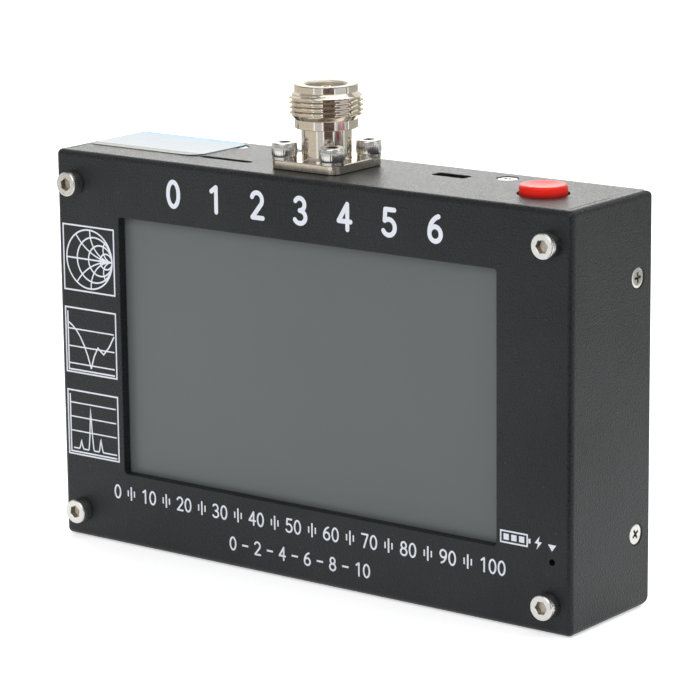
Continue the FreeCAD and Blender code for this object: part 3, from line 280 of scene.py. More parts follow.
finishes = {
    "black_coat": black_coat(),
    "bright_steel": bright_steel(),
    "nickel_brass": bright_nickel(),
    "label_film": printed_label(),
    "touch_film": touch_film(),
    "red_plastic": red_button(),
    "board_laminate": board_laminate(),
    "cell_foil": pouch_foil(),
    "gold_plate": plain_finish("gold_plate", (0.74, 0.52, 0.20), (0.86, 0.64, 0.29), (0.14, 0.28),
                               mottle=400, grain=2500, depth=0.002, metallic=1.0),
    "copper": plain_finish("copper", (0.66, 0.33, 0.21), (0.80, 0.45, 0.30), (0.20, 0.38),
                           mottle=300, grain=2000, depth=0.004, metallic=1.0),
    "tin_plate": plain_finish("tin_plate", (0.56, 0.56, 0.54), (0.68, 0.68, 0.66), (0.24, 0.40),
                              mottle=200, grain=2200, depth=0.004, stretch=(1, 1, 6), metallic=1.0),
    "black_tape": plain_finish("black_tape", (0.014, 0.014, 0.015), (0.026, 0.026, 0.027), (0.75, 0.92),
                               mottle=150, grain=3000, depth=0.05, level=0.2),
    "display_glass": plain_finish("display_glass", (0.040, 0.041, 0.045), (0.052, 0.053, 0.058),
                                  (0.05, 0.12), mottle=30, grain=900, depth=0.0005),
    "clear_plastic": plain_finish("clear_plastic", (0.80, 0.83, 0.85), (0.87, 0.89, 0.91), (0.08, 0.16),
                                  mottle=60, grain=1400, depth=0.001, transmission=0.5, ior=1.49),
    "white_plastic": plain_finish("white_plastic", (0.74, 0.74, 0.71), (0.83, 0.83, 0.80), (0.38, 0.52),
                                  depth=0.006, subsurface=0.05),
    "black_plastic": plain_finish("black_plastic", (0.020, 0.020, 0.021), (0.034, 0.034, 0.036),
                                  (0.48, 0.66), grain=2600, depth=0.012, level=0.4),
    "ribbon_film": plain_finish("ribbon_film", (0.42, 0.19, 0.04), (0.60, 0.31, 0.08), (0.22, 0.36),
                                grain=1800, depth=0.006, stretch=(5, 0.4, 0.4)),
    "white_ptfe": plain_finish("white_ptfe", (0.76, 0.75, 0.72), (0.85, 0.84, 0.81), (0.42, 0.55),
                               grain=1600, depth=0.005, subsurface=0.10),
    "red_lens": plain_finish("red_lens", (0.50, 0.030, 0.020), (0.66, 0.055, 0.035), (0.10, 0.20),
                             depth=0.002, transmission=0.2),
    "brown_ceramic": plain_finish("brown_ceramic", (0.28, 0.18, 0.10), (0.42, 0.29, 0.17), (0.42, 0.60),
                                  grain=3200, depth=0.006),
    "dark_ferrite": plain_finish("dark_ferrite", (0.060, 0.060, 0.064), (0.095, 0.095, 0.100), (0.50, 0.68),
                                 grain=2800, depth=0.016),
    "red_wire": plain_finish("red_wire", (0.52, 0.012, 0.012), (0.66, 0.028, 0.024), (0.30, 0.42),
                             grain=1600, depth=0.008),
    "black_wire": plain_finish("black_wire", (0.016, 0.016, 0.017), (0.028, 0.028, 0.030), (0.30, 0.42),
                               grain=1600, depth=0.008),
}
ink = plain_finish("white_ink", (0.80, 0.83, 0.92), (0.86, 0.89, 0.97), (0.42, 0.58),
                   mottle=500, grain=2600, depth=0.010)

# finishes of single faces: a screw's recess, dark with painted shade, and the socket's end, dark with
# painted shade, its bore and flange
# painted shade: the screws' recesses are a dark brown, well below the steel's own colour
recess = plain_finish("screw_recess_shade", (0.20, 0.16, 0.115), (0.31, 0.26, 0.20), (0.20, 0.36),
                      mottle=900, grain=3000, depth=0.004, metallic=1.0)
# painted shade: the nose's end annulus is far darker than the nickel it is made of
end_face = plain_finish("nickel_end_shade", (0.13, 0.125, 0.110), (0.21, 0.20, 0.18), (0.22, 0.34),
                        mottle=300, grain=2400, depth=0.002, metallic=1.0)
bore_face = plain_finish("nickel_bore", (0.62, 0.58, 0.50), (0.76, 0.72, 0.64), (0.42, 0.54),
                         mottle=300, grain=2400, depth=0.004, metallic=1.0)
flange_face = plain_finish("nickel_flange", (0.65, 0.59, 0.495), (0.77, 0.71, 0.62), (0.15, 0.26),
                           mottle=260, grain=2600, depth=0.002, stretch=(1, 1, 0.5), metallic=1.0)

slot_of = {part["node"]: part["material_slot"] for part in frame["record"]["subparts"]}
for node, item in frame["nodes"].items():
    for place in item.material_slots:
        place.material = finishes[slot_of[node]].material


# ---------------------------------------------------------------- mesh helpers

def around(radius, height, count, middle=(0.0, 0.0)):
    """A ring of points. The radius is a number, or a function of the angle."""
    ring = []
    for step in range(count):
        angle = tau * step / count
        reach = radius(angle) if callable(radius) else radius
        ring.append((middle[0] + reach * math.cos(angle), middle[1] + reach * math.sin(angle), height))
    return ring


def skin(bm, rings, first_cap=None, last_cap=None):
    """Faces between rings of equal count. A cap is the point that the first or last ring closes to."""
    made = [[bm.verts.new(point) for point in ring] for ring in rings]
    count = len(made[0])
    for low, high in zip(made, made[1:]):
        for i in range(count):
            j = (i + 1) % count
            bm.faces.new((low[i], low[j], high[j], high[i]))
    for ring, cap in ((made[0], first_cap), (made[-1], last_cap)):
        if cap:
            tip = bm.verts.new(cap)
            for i in range(count):
                bm.faces.new((ring[i], ring[(i + 1) % count], tip))
    return made


def new_piece(name, bm, slot, body="case", replaces=(), sharp=35, material=None, others=()):
    """A piece from a mesh in millimetres, finished in a slot's material, that rides on a body.

    The others are finishes for the faces whose material index is 1, 2 and so on.
    """
    bmesh.ops.remove_doubles(bm, verts=bm.verts, dist=same_point)
    bmesh.ops.recalc_face_normals(bm, faces=bm.faces)
    bmesh.ops.scale(bm, vec=(mm, mm, mm), verts=bm.verts)
    mesh = bpy.data.meshes.new(name)
    bm.to_mesh(mesh)
    bm.free()
    mesh.shade_smooth()
    mesh.set_sharp_from_angle(angle=math.radians(sharp))
    mesh.materials.append(material or finishes[slot].material)
    for other in others:
        mesh.materials.append(other.material)
    piece = bpy.data.objects.new(name, mesh)
    bpy.context.scene.collection.objects.link(piece)
    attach(piece, body)
    if replaces:
        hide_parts(*replaces)
    return piece


def place_new(bm, point, outward, turn):
    """Moves what is new in a mesh, built up +Z from the origin, to a point and a direction."""
    aim = Vector((0, 0, 1)).rotation_difference(Vector(outward)).to_matrix().to_4x4()
    matrix = Matrix.Translation(point) @ aim @ Matrix.Rotation(turn, 4, "Z")
    new = [vert for vert in bm.verts if not vert.tag]
    bmesh.ops.transform(bm, matrix=matrix, verts=new)
    for vert in new:
        vert.tag = True


def finish_recess(bm, radius, floor, top):
    """Finishes the walls of a new recess round the Z axis, down to the floor, and what is under it."""
    walls, bottom = 1, 2
    deepest = floor - 0.6
    for face in bm.faces:
        if not face.tag:
            face.tag = True
            middle = face.calc_center_median()
            if math.hypot(middle.x, middle.y) < radius and deepest < middle.z < top:
                face.material_index = walls if middle.z > floor else bottom


def box_of(node):
    """A node's lowest and highest corners, in millimetres."""
    return [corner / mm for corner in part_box(node)]


def middle_of(node):
    low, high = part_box(node)
    return (low + high) / 2 / mm


# ---------------------------------------------------------------- screws

def hex_radius(flats):
    """The outline of a hexagon, in polar form."""
    return lambda angle: flats / 2 / math.cos(angle % (tau / 6) - tau / 12)


def cap_screw(bm, point, outward, length, turn):
    """A knurled socket cap screw, M3. The underside of its head is at the point."""
    count = 180
    shaft, tall = 1.5, 3.0
    ridges, ridge_height = 36, 0.04
    key = hex_radius(2.5)
    key_depth, key_tip, key_reach = 1.45, 1.70, 1.45

    def knurl(radius):
        return lambda angle: radius + ridge_height / 2 * (math.cos(ridges * angle) - 1)

    rings = [around(radius, height, count) for radius, height in
             ((1.15, -length), (shaft, -length + 0.35), (shaft, -0.1), (1.6, 0), (2.52, 0), (2.62, 0.08))]
    rings += [around(knurl(radius), height, count) for radius, height in
              ((2.70, 0.22), (2.75, 0.32), (2.75, 2.20), (2.71, 2.36))]
    rings += [around(radius, height, count) for radius, height in
              ((2.68, 2.44), (2.68, 2.66), (2.64, 2.82), (2.56, 2.94), (2.46, tall), (1.75, tall))]
    rings += [around(lambda angle: key(angle) + 0.07, tall, count), around(key, tall - 0.06, count),
              around(key, tall - key_depth, count), around(1.05, tall - key_depth - 0.05, count)]
    skin(bm, rings, (0, 0, -length), (0, 0, tall - key_tip))
    finish_recess(bm, key_reach, tall - key_depth + 0.15, tall - 0.10)
    place_new(bm, point, outward, turn)


def cross_radius(half, reach):
    """The outline of a cross: two bars of a half width, out to a reach, in polar form."""
    corner = math.atan2(half, reach)

    def radius(angle):
        off = (angle + tau / 8) % (tau / 4) - tau / 8
        if abs(off) <= corner + 1e-9:
            return reach / math.cos(off)
        return half / abs(math.sin(off))
    return radius


def cross_screw(bm, point, outward, turn):
    """A countersunk cross-head screw, M2.5. The case's surface is at the point."""
    end, top = -5.0, -0.12
    shaft = 1.25
    bar_half, bar_reach = 0.26, 1.10
    corner = math.atan2(bar_half, bar_reach)
    per_bar, per_gap = 3, 8
    angles = []
    for quarter in range(4):
        base = quarter * tau / 4
        angles += [base + corner * k / per_bar for k in range(-per_bar, per_bar + 1)]
        angles += [base + corner + (tau / 4 - 2 * corner) * k / per_gap for k in range(1, per_gap)]

    def ring(radius, height):
        reach = radius if callable(radius) else (lambda angle: radius)
        return [(reach(a) * math.cos(a), reach(a) * math.sin(a), height) for a in angles]

    rings = [ring(radius, height) for radius, height in
             ((0.9, end), (shaft, end + 0.3), (shaft, -1.10), (2.06, -0.29), (2.14, -0.22), (2.13, -0.17),
              (2.02, top), (1.50, top))]
    rings += [ring(cross_radius(half, reach), top - depth) for half, reach, depth in
              ((0.30, 1.16, 0), (bar_half, bar_reach, 0.07), (0.21, 0.80, 0.55), (0.16, 0.34, 0.74))]
    skin(bm, rings, (0, 0, end), (0, 0, top - 0.79))
    finish_recess(bm, 1.2, top - 0.9, top - 0.01)
    place_new(bm, point, outward, turn)


low, high = box_of("front_shell")
half_width, half_depth, case_top = high.x, high.y, high.z
front = -half_depth


def screws_piece(name, bm, node):
    # Recess walls take the dark recess finish of painted shade; the floors under them take the lighter,
    # rougher bore finish, which paints some light onto them.
    return new_piece(name, bm, "bright_steel", replaces=[node], sharp=28, others=[recess, bore_face])


# Each screw has its own turn, in radians, as its recess stands in the photo where that is seen.
post_x, post_heights = 62.713, (6.2, 80.4)
front_length, front_turns = 5.95, (0.35, 1.10, 0.62, 0.12)
posts = [(x, z) for z in post_heights for x in (-post_x, post_x)]
bm = bmesh.new()
for turn, (x, z) in zip(front_turns, posts):
    cap_screw(bm, (x, front, z), (0, -1, 0), front_length, turn)
screws_piece("front_cap_screws", bm, "front_screws")

coax_x = middle_of("coax_insulator").x
flange_thick, washer_thick = 2.0, 0.6
hole_off = 6.35
flange_length, flange_turns = 7.95, (0.9, 0.3, 0.5, 0.2)
holes = [(coax_x + x, y) for y in (-hole_off, hole_off) for x in (-hole_off, hole_off)]
bm = bmesh.new()
for turn, (x, y) in zip(flange_turns, holes):
    cap_screw(bm, (x, y, case_top + flange_thick + washer_thick), (0, 0, 1), flange_length, turn)
screws_piece("flange_cap_screws", bm, "flange_screws")

cover_y = 9.55
side_heights, top_places = (16.2, 70.2), (-35.9, 35.9)
cover_turns = iter((0.30, 1.15, 0.72, 0.05, 0.55, 0.06, 0.62, 1.30))
bm = bmesh.new()
for side in (-1, 1):
    for z in side_heights:
        cross_screw(bm, (side * half_width, cover_y, z), (side, 0, 0), next(cover_turns))
    for x in top_places:
        cross_screw(bm, (x, cover_y, case_top if side > 0 else 0), (0, 0, side), next(cover_turns))
screws_piece("cover_cross_screws", bm, "cover_screws")


# ---------------------------------------------------------------- coaxial socket

def rounded_square(width, corner, height, middle):
    """A ring of points round a square with rounded corners."""
    per_corner = 12
    reach = width / 2 - corner
    ring = []
    for quarter, (sign_x, sign_y) in enumerate(((1, 1), (-1, 1), (-1, -1), (1, -1))):
        for step in range(per_corner + 1):
            angle = tau / 4 * (quarter + step / per_corner)
            ring.append((middle[0] + sign_x * reach + corner * math.cos(angle),
                         middle[1] + sign_y * reach + corner * math.sin(angle), height))
    return ring


def loop_edges(bm, ring):
    return [bm.edges.get((ring[i], ring[(i + 1) % len(ring)])) for i in range(len(ring))]


def square_flange(bm, width, corner, foot, thickness, middle, holes):
    """A plate with broken edges and round holes, each (x, y, radius)."""
    top = foot + thickness
    edge, count = 0.18, 48
    outer = skin(bm, [rounded_square(width - 2 * inset, corner - inset, height, middle) for inset, height in
                      ((edge, foot), (0, foot + edge), (0, top - edge), (edge, top))])
    walls = [skin(bm, [around(radius, height, count, (x, y)) for height in (foot, top)])
             for x, y, radius in holes]
    for end in (0, -1):
        edges = loop_edges(bm, outer[end])
        for wall in walls:
            edges += loop_edges(bm, wall[end])
        bmesh.ops.triangle_fill(bm, use_beauty=True, edges=edges)


def held(outline):
    """The outline with a point near both ends of each long run, which keeps the run's shading straight."""
    close = 0.04
    points = outline[:1]
    for start, end in zip(outline, outline[1:]):
        along = Vector(end) - Vector(start)
        if along.length > 6 * close:
            step = along.normalized() * close
            points += [tuple(Vector(start) + step), tuple(Vector(end) - step)]
        points.append(end)
    return points


def threaded_barrel(bm, middle, base):
    """The turned barrel: mouth and bore, spigot, neck, collar, a right-handed thread, and the nose."""
    count = 180
    pitch = 1.058
    root, crest, plain = 7.29, 7.94, 6.75
    half_root, half_flat = 0.07, 0.13
    spigot, neck, bore = 5.5, 5.35, 4.35
    collar_foot, thread_foot, thread_top, tip = 8.55, 10.45, 16.3, 17.782
    run_in = (base + thread_foot, base + 11.02)
    run_out = (base + 15.45, base + thread_top)
    first_crest = base + 11.32

    # Offsets along the axis from a crest, over one turn's profile. The early turns start below the
    # thread, and the run-in cuts them off.
    slopes, turns, early, least_rise = 5, 8, 2, 1e-6
    reach = pitch / 2 - half_root
    ramp = [reach + (half_flat - reach) * k / slopes for k in range(slopes + 1)]
    offsets = [-pitch / 2] + [-off for off in ramp] + [0.0] + ramp[::-1]

    def thread_radius(height, off):
        """The thread's profile, an offset from its crest, cut off by a cone at each end."""
        share = (reach - abs(off)) / (reach - half_flat)
        radius = root + (crest - root) * min(max(share, 0.0), 1.0)
        low_cone = plain + (root - plain) * (height - run_in[0]) / (run_in[1] - run_in[0])
        high_cone = plain + (crest - plain) * (run_out[1] - height) / (run_out[1] - run_out[0])
        return min(radius, low_cone, high_cone)

    def at(row, step):
        turn, place = divmod(row, len(offsets))
        off = offsets[place]
        height = first_crest + pitch * (turn - early + step / count) + off
        height = min(max(height, run_in[0]), run_out[1])
        radius = thread_radius(height, off)
        angle = tau * step / count
        return (middle[0] + radius * math.cos(angle), middle[1] + radius * math.sin(angle), height)

    # each row runs round once along the helix, and its end meets the start of the same row a turn on
    rows = turns * len(offsets)
    grid = [[bm.verts.new(at(row, step)) for step in range(count)]
            for row in range(rows + len(offsets) + 1)]
    for row in range(rows):
        for step in range(count):
            ahead = (row, step + 1) if step + 1 < count else (row + len(offsets), 0)
            corners = [grid[row][step], grid[ahead[0]][ahead[1]], grid[ahead[0] + 1][ahead[1]],
                       grid[row + 1][step]]
            if max(v.co.z for v in corners) - min(v.co.z for v in corners) > least_rise:
                bm.faces.new(corners)
    # the rest, as (height, radius) from the thread's top, over the nose, down the bore and up outside
    outline = [(thread_top, plain), (17.63, plain), (17.74, 6.69), (tip, 6.58), (tip, 4.68), (17.66, 4.52),
               (17.40, bore), (-2.0, bore), (-2.0, spigot), (1.9, spigot), (2.06, spigot), (2.2, 5.38),
               (2.5, neck), (8.45, neck), (8.53, 5.39), (collar_foot, spigot), (collar_foot, 6.65),
               (8.65, plain), (thread_foot, plain)]
    skin(bm, [around(radius, base + height, count, middle) for height, radius in held(outline)])
    bmesh.ops.remove_doubles(bm, verts=bm.verts, dist=same_point)
    bmesh.ops.delete(bm, geom=[v for v in bm.verts if not v.link_faces], context="VERTS")


def finish_socket(bm, middle, base):
    """Gives the nose's end its dark finish of painted shade, and the bore with its mouth and the flange's
    faces their own finishes.
    """
    end, inner, plate = 1, 2, 3
    mouth_reach, spigot_reach = 4.65, 5.6
    end_foot, plate_top = base + 17.64, base + flange_thick + 0.01
    for face in bm.faces:
        spot = face.calc_center_median()
        off = math.dist(spot.xy, middle)
        if off < mouth_reach:
            face.material_index = inner
        elif spot.z > end_foot:
            face.material_index = end
        elif spot.z < plate_top and off > spigot_reach:
            face.material_index = plate


coax = (coax_x, 0.0)
screw_hole, barrel_hole = 1.65, 4.9
flange_width, flange_corner = 17.5, 2.0
bm = bmesh.new()
square_flange(bm, flange_width, flange_corner, case_top, flange_thick, coax,
              [(*hole, screw_hole) for hole in holes] + [(*coax, barrel_hole)])
threaded_barrel(bm, coax, case_top)
finish_socket(bm, coax, case_top)
new_piece("coax_barrel", bm, "nickel_brass", replaces=["coax_body"], sharp=30,
          others=[end_face, bore_face, flange_face])


# ---------------------------------------------------------------- power button and its spring

def button_cap(bm, middle, top, tall):
    """A round cap with a dished top, and a square socket under it for the switch's plunger."""
    count = 96
    radius, rim, dish = 5.0, 0.9, 0.35
    half_socket, socket_deep = 1.5, 4.2
    bottom = top - tall
    outer = [(radius - 0.25, bottom), (radius, bottom + 0.25), (radius, top - 0.55),
             (radius - 0.03, top - 0.37), (radius - 0.10, top - 0.22), (radius - 0.21, top - 0.10),
             (radius - 0.34, top - 0.03), (radius - 0.48, top), (radius - rim + 0.14, top),
             (radius - rim - 0.02, top - 0.018)]
    ball = ((radius - rim) ** 2 + dish ** 2) / (2 * dish)
    bowl = []
    for step in range(8):
        reach = (radius - rim - 0.2) * (1 - step / 8)
        bowl.append((reach, top - dish + ball - math.sqrt(ball ** 2 - reach ** 2)))

    def square(angle):
        return half_socket / math.cos((angle + tau / 8) % (tau / 4) - tau / 8)

    roof = bottom + socket_deep
    socket = [(0.6, roof), (square, roof), (square, bottom)]
    rings = [around(reach, height, count, middle) for reach, height in socket + outer + bowl]
    skin(bm, rings, (*middle, roof), (*middle, top - dish))


low, high = box_of("power_button")
button = ((low.x + high.x) / 2, (low.y + high.y) / 2)
cap_height = 7.0
bm = bmesh.new()
button_cap(bm, button, high.z, cap_height)
new_piece("power_button_cap", bm, "red_plastic", body="button", replaces=["power_button"], sharp=40)


def coil(bm, middle, low, high, radius, wire, turns):
    """A round wire wound up from low to high. The wire is given by its radius, as the coil is."""
    per_turn, sides = 40, 12
    steps = turns * per_turn
    upward = Vector((0, 0, 1))
    rings = []
    for step in range(steps + 1):
        share = step / steps
        angle = tau * turns * share
        height = low + (high - low) * share
        out = Vector((math.cos(angle), math.sin(angle), 0))
        spine = Vector((middle[0], middle[1], height)) + out * radius
        rings.append([spine + (out * math.cos(tau * k / sides) + upward * math.sin(tau * k / sides)) * wire
                      for k in range(sides)])
    ends = [sum(ring, Vector()) / sides for ring in (rings[0], rings[-1])]
    skin(bm, rings, ends[0], ends[1])


low, high = box_of("switch_spring")
coil_radius, wire, turns = 1.5, 0.15, 5
bm = bmesh.new()
coil(bm, button, low.z + wire, high.z - wire, coil_radius, wire, turns)
spring = new_piece("switch_coil", bm, "bright_steel", replaces=["switch_spring"])
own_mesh(spring)


# ---------------------------------------------------------------- label on the top

def label_sheet(bm, low, high):
    """A thin film with rounded corners, a faint ripple, and a slight lift at its front right corner."""
    columns, rows = 48, 32
    corner, thick, clear = 2.6, 0.12, 0.005
    lift_height, lift_reach = 0.16, 7.5
    ripple_height, ripple_across, ripple_along = 0.02, 0.55, 0.7
    width, length = high.x - low.x, high.y - low.y
    layers = []
    for layer in range(2):
        grid = []
        for row in range(rows + 1):
            along = 0.5 - 0.5 * math.cos(math.pi * row / rows)
            y = length * along
            near = min(y, length - y)
            cut = corner - math.sqrt(max(corner ** 2 - (corner - near) ** 2, 0)) if near < corner else 0
            line = []
            for column in range(columns + 1):
                across = 0.5 - 0.5 * math.cos(math.pi * column / columns)
                x = cut + (width - 2 * cut) * across
                off = math.hypot(width - x, y)
                lift = lift_height * max(0.0, 1 - off / lift_reach) ** 2
                ripple = ripple_height * math.sin(x * ripple_across) * math.sin(y * ripple_along)
                height = low.z + clear + lift + max(0.0, ripple) + thick * layer
                line.append(bm.verts.new((low.x + x, low.y + y, height)))
            grid.append(line)
        layers.append(grid)
    for grid in layers:
        for row in range(rows):
            for column in range(columns):
                bm.faces.new((grid[row][column], grid[row][column + 1], grid[row + 1][column + 1],
                              grid[row + 1][column]))
    under, over = layers
    rim = [(0, c) for c in range(columns)] + [(r, columns) for r in range(rows)]
    rim += [(rows, c) for c in range(columns, 0, -1)] + [(r, 0) for r in range(rows, 0, -1)]
    for (r0, c0), (r1, c1) in zip(rim, rim[1:] + rim[:1]):
        bm.faces.new((under[r0][c0], under[r1][c1], over[r1][c1], over[r0][c0]))


bm = bmesh.new()
label_sheet(bm, *box_of("top_label"))
new_piece("label_sheet", bm, "label_film", replaces=["top_label"], sharp=40)


# ---------------------------------------------------------------- print on the front

# Ink stands a hair proud of the front and reaches a hair into it. Strokes that cross each other
# stand at slightly different heights, so that their faces never share a place.
ink_lift = 0.02
ink_root = front + 0.01
apart = 0.001


def ribbon(bm, points, width, closed=False, lift=ink_lift):
    """A stroke of ink along points (x, z) on the front."""
    points = [Vector(p) for p in points]
    count = len(points)
    least_share = 0.35    # keeps the point of a sharp corner short
    sides = ([], [])
    for i, point in enumerate(points):
        before = points[i - 1] if i or closed else point
        after = points[(i + 1) % count] if i + 1 < count or closed else point
        arrive = (point - before).normalized() if point != before else (after - point).normalized()
        leave = (after - point).normalized() if after != point else arrive
        across = Vector((-arrive.y - leave.y, arrive.x + leave.x)).normalized()
        spread = width / 2 / max(least_share, across.dot(Vector((-leave.y, leave.x))))
        for side, sign in zip(sides, (1, -1)):
            side.append(point + across * spread * sign)
    face = front - lift
    rings = [[(p.x, y, p.y) for p in side] for y, side in
             ((face, sides[0]), (face, sides[1]), (ink_root, sides[1]), (ink_root, sides[0]))]
    verts = [[bm.verts.new(p) for p in ring] for ring in rings]
    last = count if closed else count - 1
    for k in range(4):
        a, b = verts[k], verts[(k + 1) % 4]
        for i in range(last):
            j = (i + 1) % count
            bm.faces.new((a[i], a[j], b[j], b[i]))
    if not closed:
        for i in (0, count - 1):
            bm.faces.new([ring[i] for ring in verts])


def patch(bm, points, lift=ink_lift):
    """A filled shape of ink with corners (x, z)."""
    upper = [bm.verts.new((x, front - lift, z)) for x, z in points]
    lower = [bm.verts.new((x, ink_root, z)) for x, z in points]
    bm.faces.new(upper)
    bm.faces.new(lower)
    for i in range(len(points)):
        j = (i + 1) % len(points)
        bm.faces.new((upper[i], upper[j], lower[j], lower[i]))


def rectangle(left, right, low, high):
    return [(left, low), (right, low), (right, high), (left, high)]


def arc(x, z, radius, first=0.0, last=tau, steps=64):
    """Points from one angle to another, both among them."""
    return [(x + radius * math.cos(first + (last - first) * k / steps),
             z + radius * math.sin(first + (last - first) * k / steps)) for k in range(steps + 1)]


def bow(u, v, across, up, first, last, steps=24):
    """Part of an ellipse in a numeral's box, between two angles in degrees."""
    return [(u + across * math.cos(a), v + up * math.sin(a))
            for a in (math.radians(first + (last - first) * k / steps) for k in range(steps + 1))]


# Each numeral's strokes, in a box 0.6 wide and 1 high. A corner is where two strokes meet.
numeral_wide, numeral_pitch = 0.6, 0.73
strokes = {
    "0": [bow(0.3, 0.5, 0.25, 0.46, 90, 450)],
    "1": [[(0.14, 0.80), (0.36, 0.96)], [(0.36, 0.96), (0.36, 0.04)]],
    "2": [bow(0.29, 0.70, 0.24, 0.26, 160, -38) + [(0.07, 0.04)], [(0.07, 0.04), (0.55, 0.04)]],
    "3": [bow(0.27, 0.735, 0.22, 0.225, 150, -90), bow(0.27, 0.275, 0.26, 0.235, 90, -150)],
    "4": [[(0.43, 0.04), (0.43, 0.96)], [(0.43, 0.96), (0.04, 0.33)], [(0.04, 0.33), (0.57, 0.33)]],
    "5": [[(0.52, 0.96), (0.13, 0.96)], [(0.13, 0.96), (0.10, 0.55)],
          bow(0.27, 0.325, 0.27, 0.285, 128, -150)],
    "6": [bow(0.30, 0.30, 0.245, 0.26, 180, -180), bow(0.62, 0.34, 0.565, 0.62, 180, 108)],
    "7": [[(0.05, 0.96), (0.55, 0.96)], [(0.55, 0.96), (0.22, 0.04)]],
    "8": [bow(0.30, 0.74, 0.20, 0.22, 90, 450), bow(0.30, 0.28, 0.25, 0.24, 90, 450)],
    "9": [bow(0.30, 0.70, 0.245, 0.26, 0, 360), bow(-0.02, 0.66, 0.565, 0.62, 0, -72)],
}


def number(bm, text, height, x, z, width, pitch):
    """Plain numbers in ink, centred on x, with their feet on z."""
    for place, numeral in enumerate(text):
        left = x + (place - (len(text) - 1) / 2) * pitch - numeral_wide / 2 * height
        for order, stroke in enumerate(strokes[numeral]):
            points = [(left + u * height, z + v * height) for u, v in stroke]
            lift = ink_lift - 2 * apart * order
            if math.dist(points[0], points[-1]) < same_point:
                ribbon(bm, points[:-1], width, True, lift)
                continue
            ribbon(bm, points, width, False, lift)
            for end, below in ((points[0], 0.7 * apart), (points[-1], 1.4 * apart)):
                patch(bm, arc(*end, width / 2, steps=16)[:-1], lift - below)


def ink_piece(name, bm):
    return new_piece(name, bm, "label_film", material=ink.material, sharp=25)


icon_left, icon_size = -66.6, 15.0
circle_chart_foot, dip_chart_foot, peak_chart_foot = 56.1, 37.4, 18.55
thin = 0.36


def framed(low):
    """A square frame, and the function that turns shares of its width and height into a place."""
    bm = bmesh.new()
    inset = thin / 2
    frame_line = rectangle(icon_left + inset, icon_left + icon_size - inset,
                           low + inset, low + icon_size - inset)
    ribbon(bm, frame_line, thin, True)
    return bm, lambda u, v: (icon_left + icon_size * u, low + icon_size * v)


# a circle chart: circles that touch at the right, and arcs that run to the same point
bm, at = framed(circle_chart_foot)
lefts, touch = (0.07, 0.275, 0.495, 0.72), 0.95
middle = at((lefts[0] + touch) / 2, 0.5)
radius = (touch - lefts[0]) / 2 * icon_size
for order, left in enumerate(lefts):
    size = (touch - left) / 2 * icon_size
    ribbon(bm, arc(at(touch, 0)[0] - size, middle[1], size)[:-1], thin, True, ink_lift - order * apart)
ribbon(bm, [at(lefts[0], 0.5), at(touch, 0.5)], thin, False, ink_lift - 5 * apart)
for order, reactance in enumerate((0.52, 1.05, 2.6), 6):
    size = radius / reactance
    meet = complex(-1, reactance) / complex(1, reactance)
    for sign in (1, -1):
        x0, z0 = middle[0] + radius, middle[1] + sign * size
        start = math.atan2(sign * meet.imag * radius + middle[1] - z0, meet.real * radius + middle[0] - x0)
        finish = -sign * tau / 4
        while (finish - start) * sign < 0:
            finish += sign * tau
        while (finish - start) * sign > tau:
            finish -= sign * tau
        ribbon(bm, arc(x0, z0, size, start, finish, 32), thin * 0.9, False, ink_lift - order * apart)
ink_piece("print_circle_chart", bm)


def axes(bm, at, lines):
    """A chart's two axes, and its level lines at shares of its height."""
    left, right = 0.055, 0.95
    ribbon(bm, [at(left, 0.93), at(left, 0.05), at(right, 0.05)], thin, False, ink_lift - apart)
    for v in lines:
        ribbon(bm, [at(left, v), at(right, v)], thin * 0.85, False, ink_lift - 2 * apart)


# a curve with one dip
bm, at = framed(dip_chart_foot)
axes(bm, at, (0.67, 0.405, 0.145))
dip = [(0.055, 0.77), (0.13, 0.725), (0.21, 0.66), (0.29, 0.56), (0.36, 0.44), (0.43, 0.28), (0.49, 0.10)]
rise = [(0.49, 0.10), (0.55, 0.29), (0.63, 0.43), (0.74, 0.345), (0.85, 0.47), (0.95, 0.64)]
ribbon(bm, [at(*p) for p in dip], thin, False, ink_lift - 3 * apart)
ribbon(bm, [at(*p) for p in rise], thin, False, ink_lift - 4 * apart)
ink_piece("print_dip_chart", bm)

# a trace with three peaks
bm, at = framed(peak_chart_foot)
axes(bm, at, (0.80, 0.585, 0.37))
peaks = ((0.255, 0.045, 0.235), (0.45, 0.055, 0.74), (0.64, 0.045, 0.31))
level, trace_start, trace_wide, steps = 0.105, 0.10, 0.85, 119
trace = []
for step in range(steps + 1):
    u = trace_start + trace_wide * step / steps
    rises = [(tall - level) * max(0.0, 1 - abs(u - mid) / wide) ** 1.6 for mid, wide, tall in peaks]
    trace.append(at(u, level + sum(rises)))
ribbon(bm, trace, thin * 0.9, False, ink_lift - 3 * apart)
ink_piece("print_peak_chart", bm)

# large plain numbers over the window
first_x, number_step, number_foot = -34.4, 11.53, 77.75
number_tall, number_pen = 5.8, 1.02
bm = bmesh.new()
for index in range(7):
    number(bm, str(index), number_tall, first_x + number_step * index, number_foot, number_pen, 0)
ink_piece("print_top_numbers", bm)

pen = 0.42


def scale(bm, step, count, left, foot, tall, gap):
    """A row of numbers with even gaps, and the middles of the gaps."""
    middles = []
    pitch = numeral_pitch * tall
    for index in range(count):
        text = str(index * step)
        wide = (len(text) - 1) * pitch + numeral_wide * tall
        number(bm, text, tall, left + wide / 2, foot, pen, pitch)
        left += wide + gap
        middles.append(left - gap / 2)
    return middles[:-1]


# a long scale with three strokes in each gap, and a short one under it with a dash in each
foot, tall = 10.35, 3.1
stroke_off, stroke_foot, stroke_top = 0.9, 0.85, 2.25
bm = bmesh.new()
for x in scale(bm, step=10, count=11, left=-53.3, foot=foot, tall=tall, gap=6.0):
    ribbon(bm, [(x, foot), (x, foot + tall)], pen)
    for off in (-stroke_off, stroke_off):
        ribbon(bm, [(x + off, foot + stroke_foot), (x + off, foot + stroke_top)], thin)
ink_piece("print_long_scale", bm)

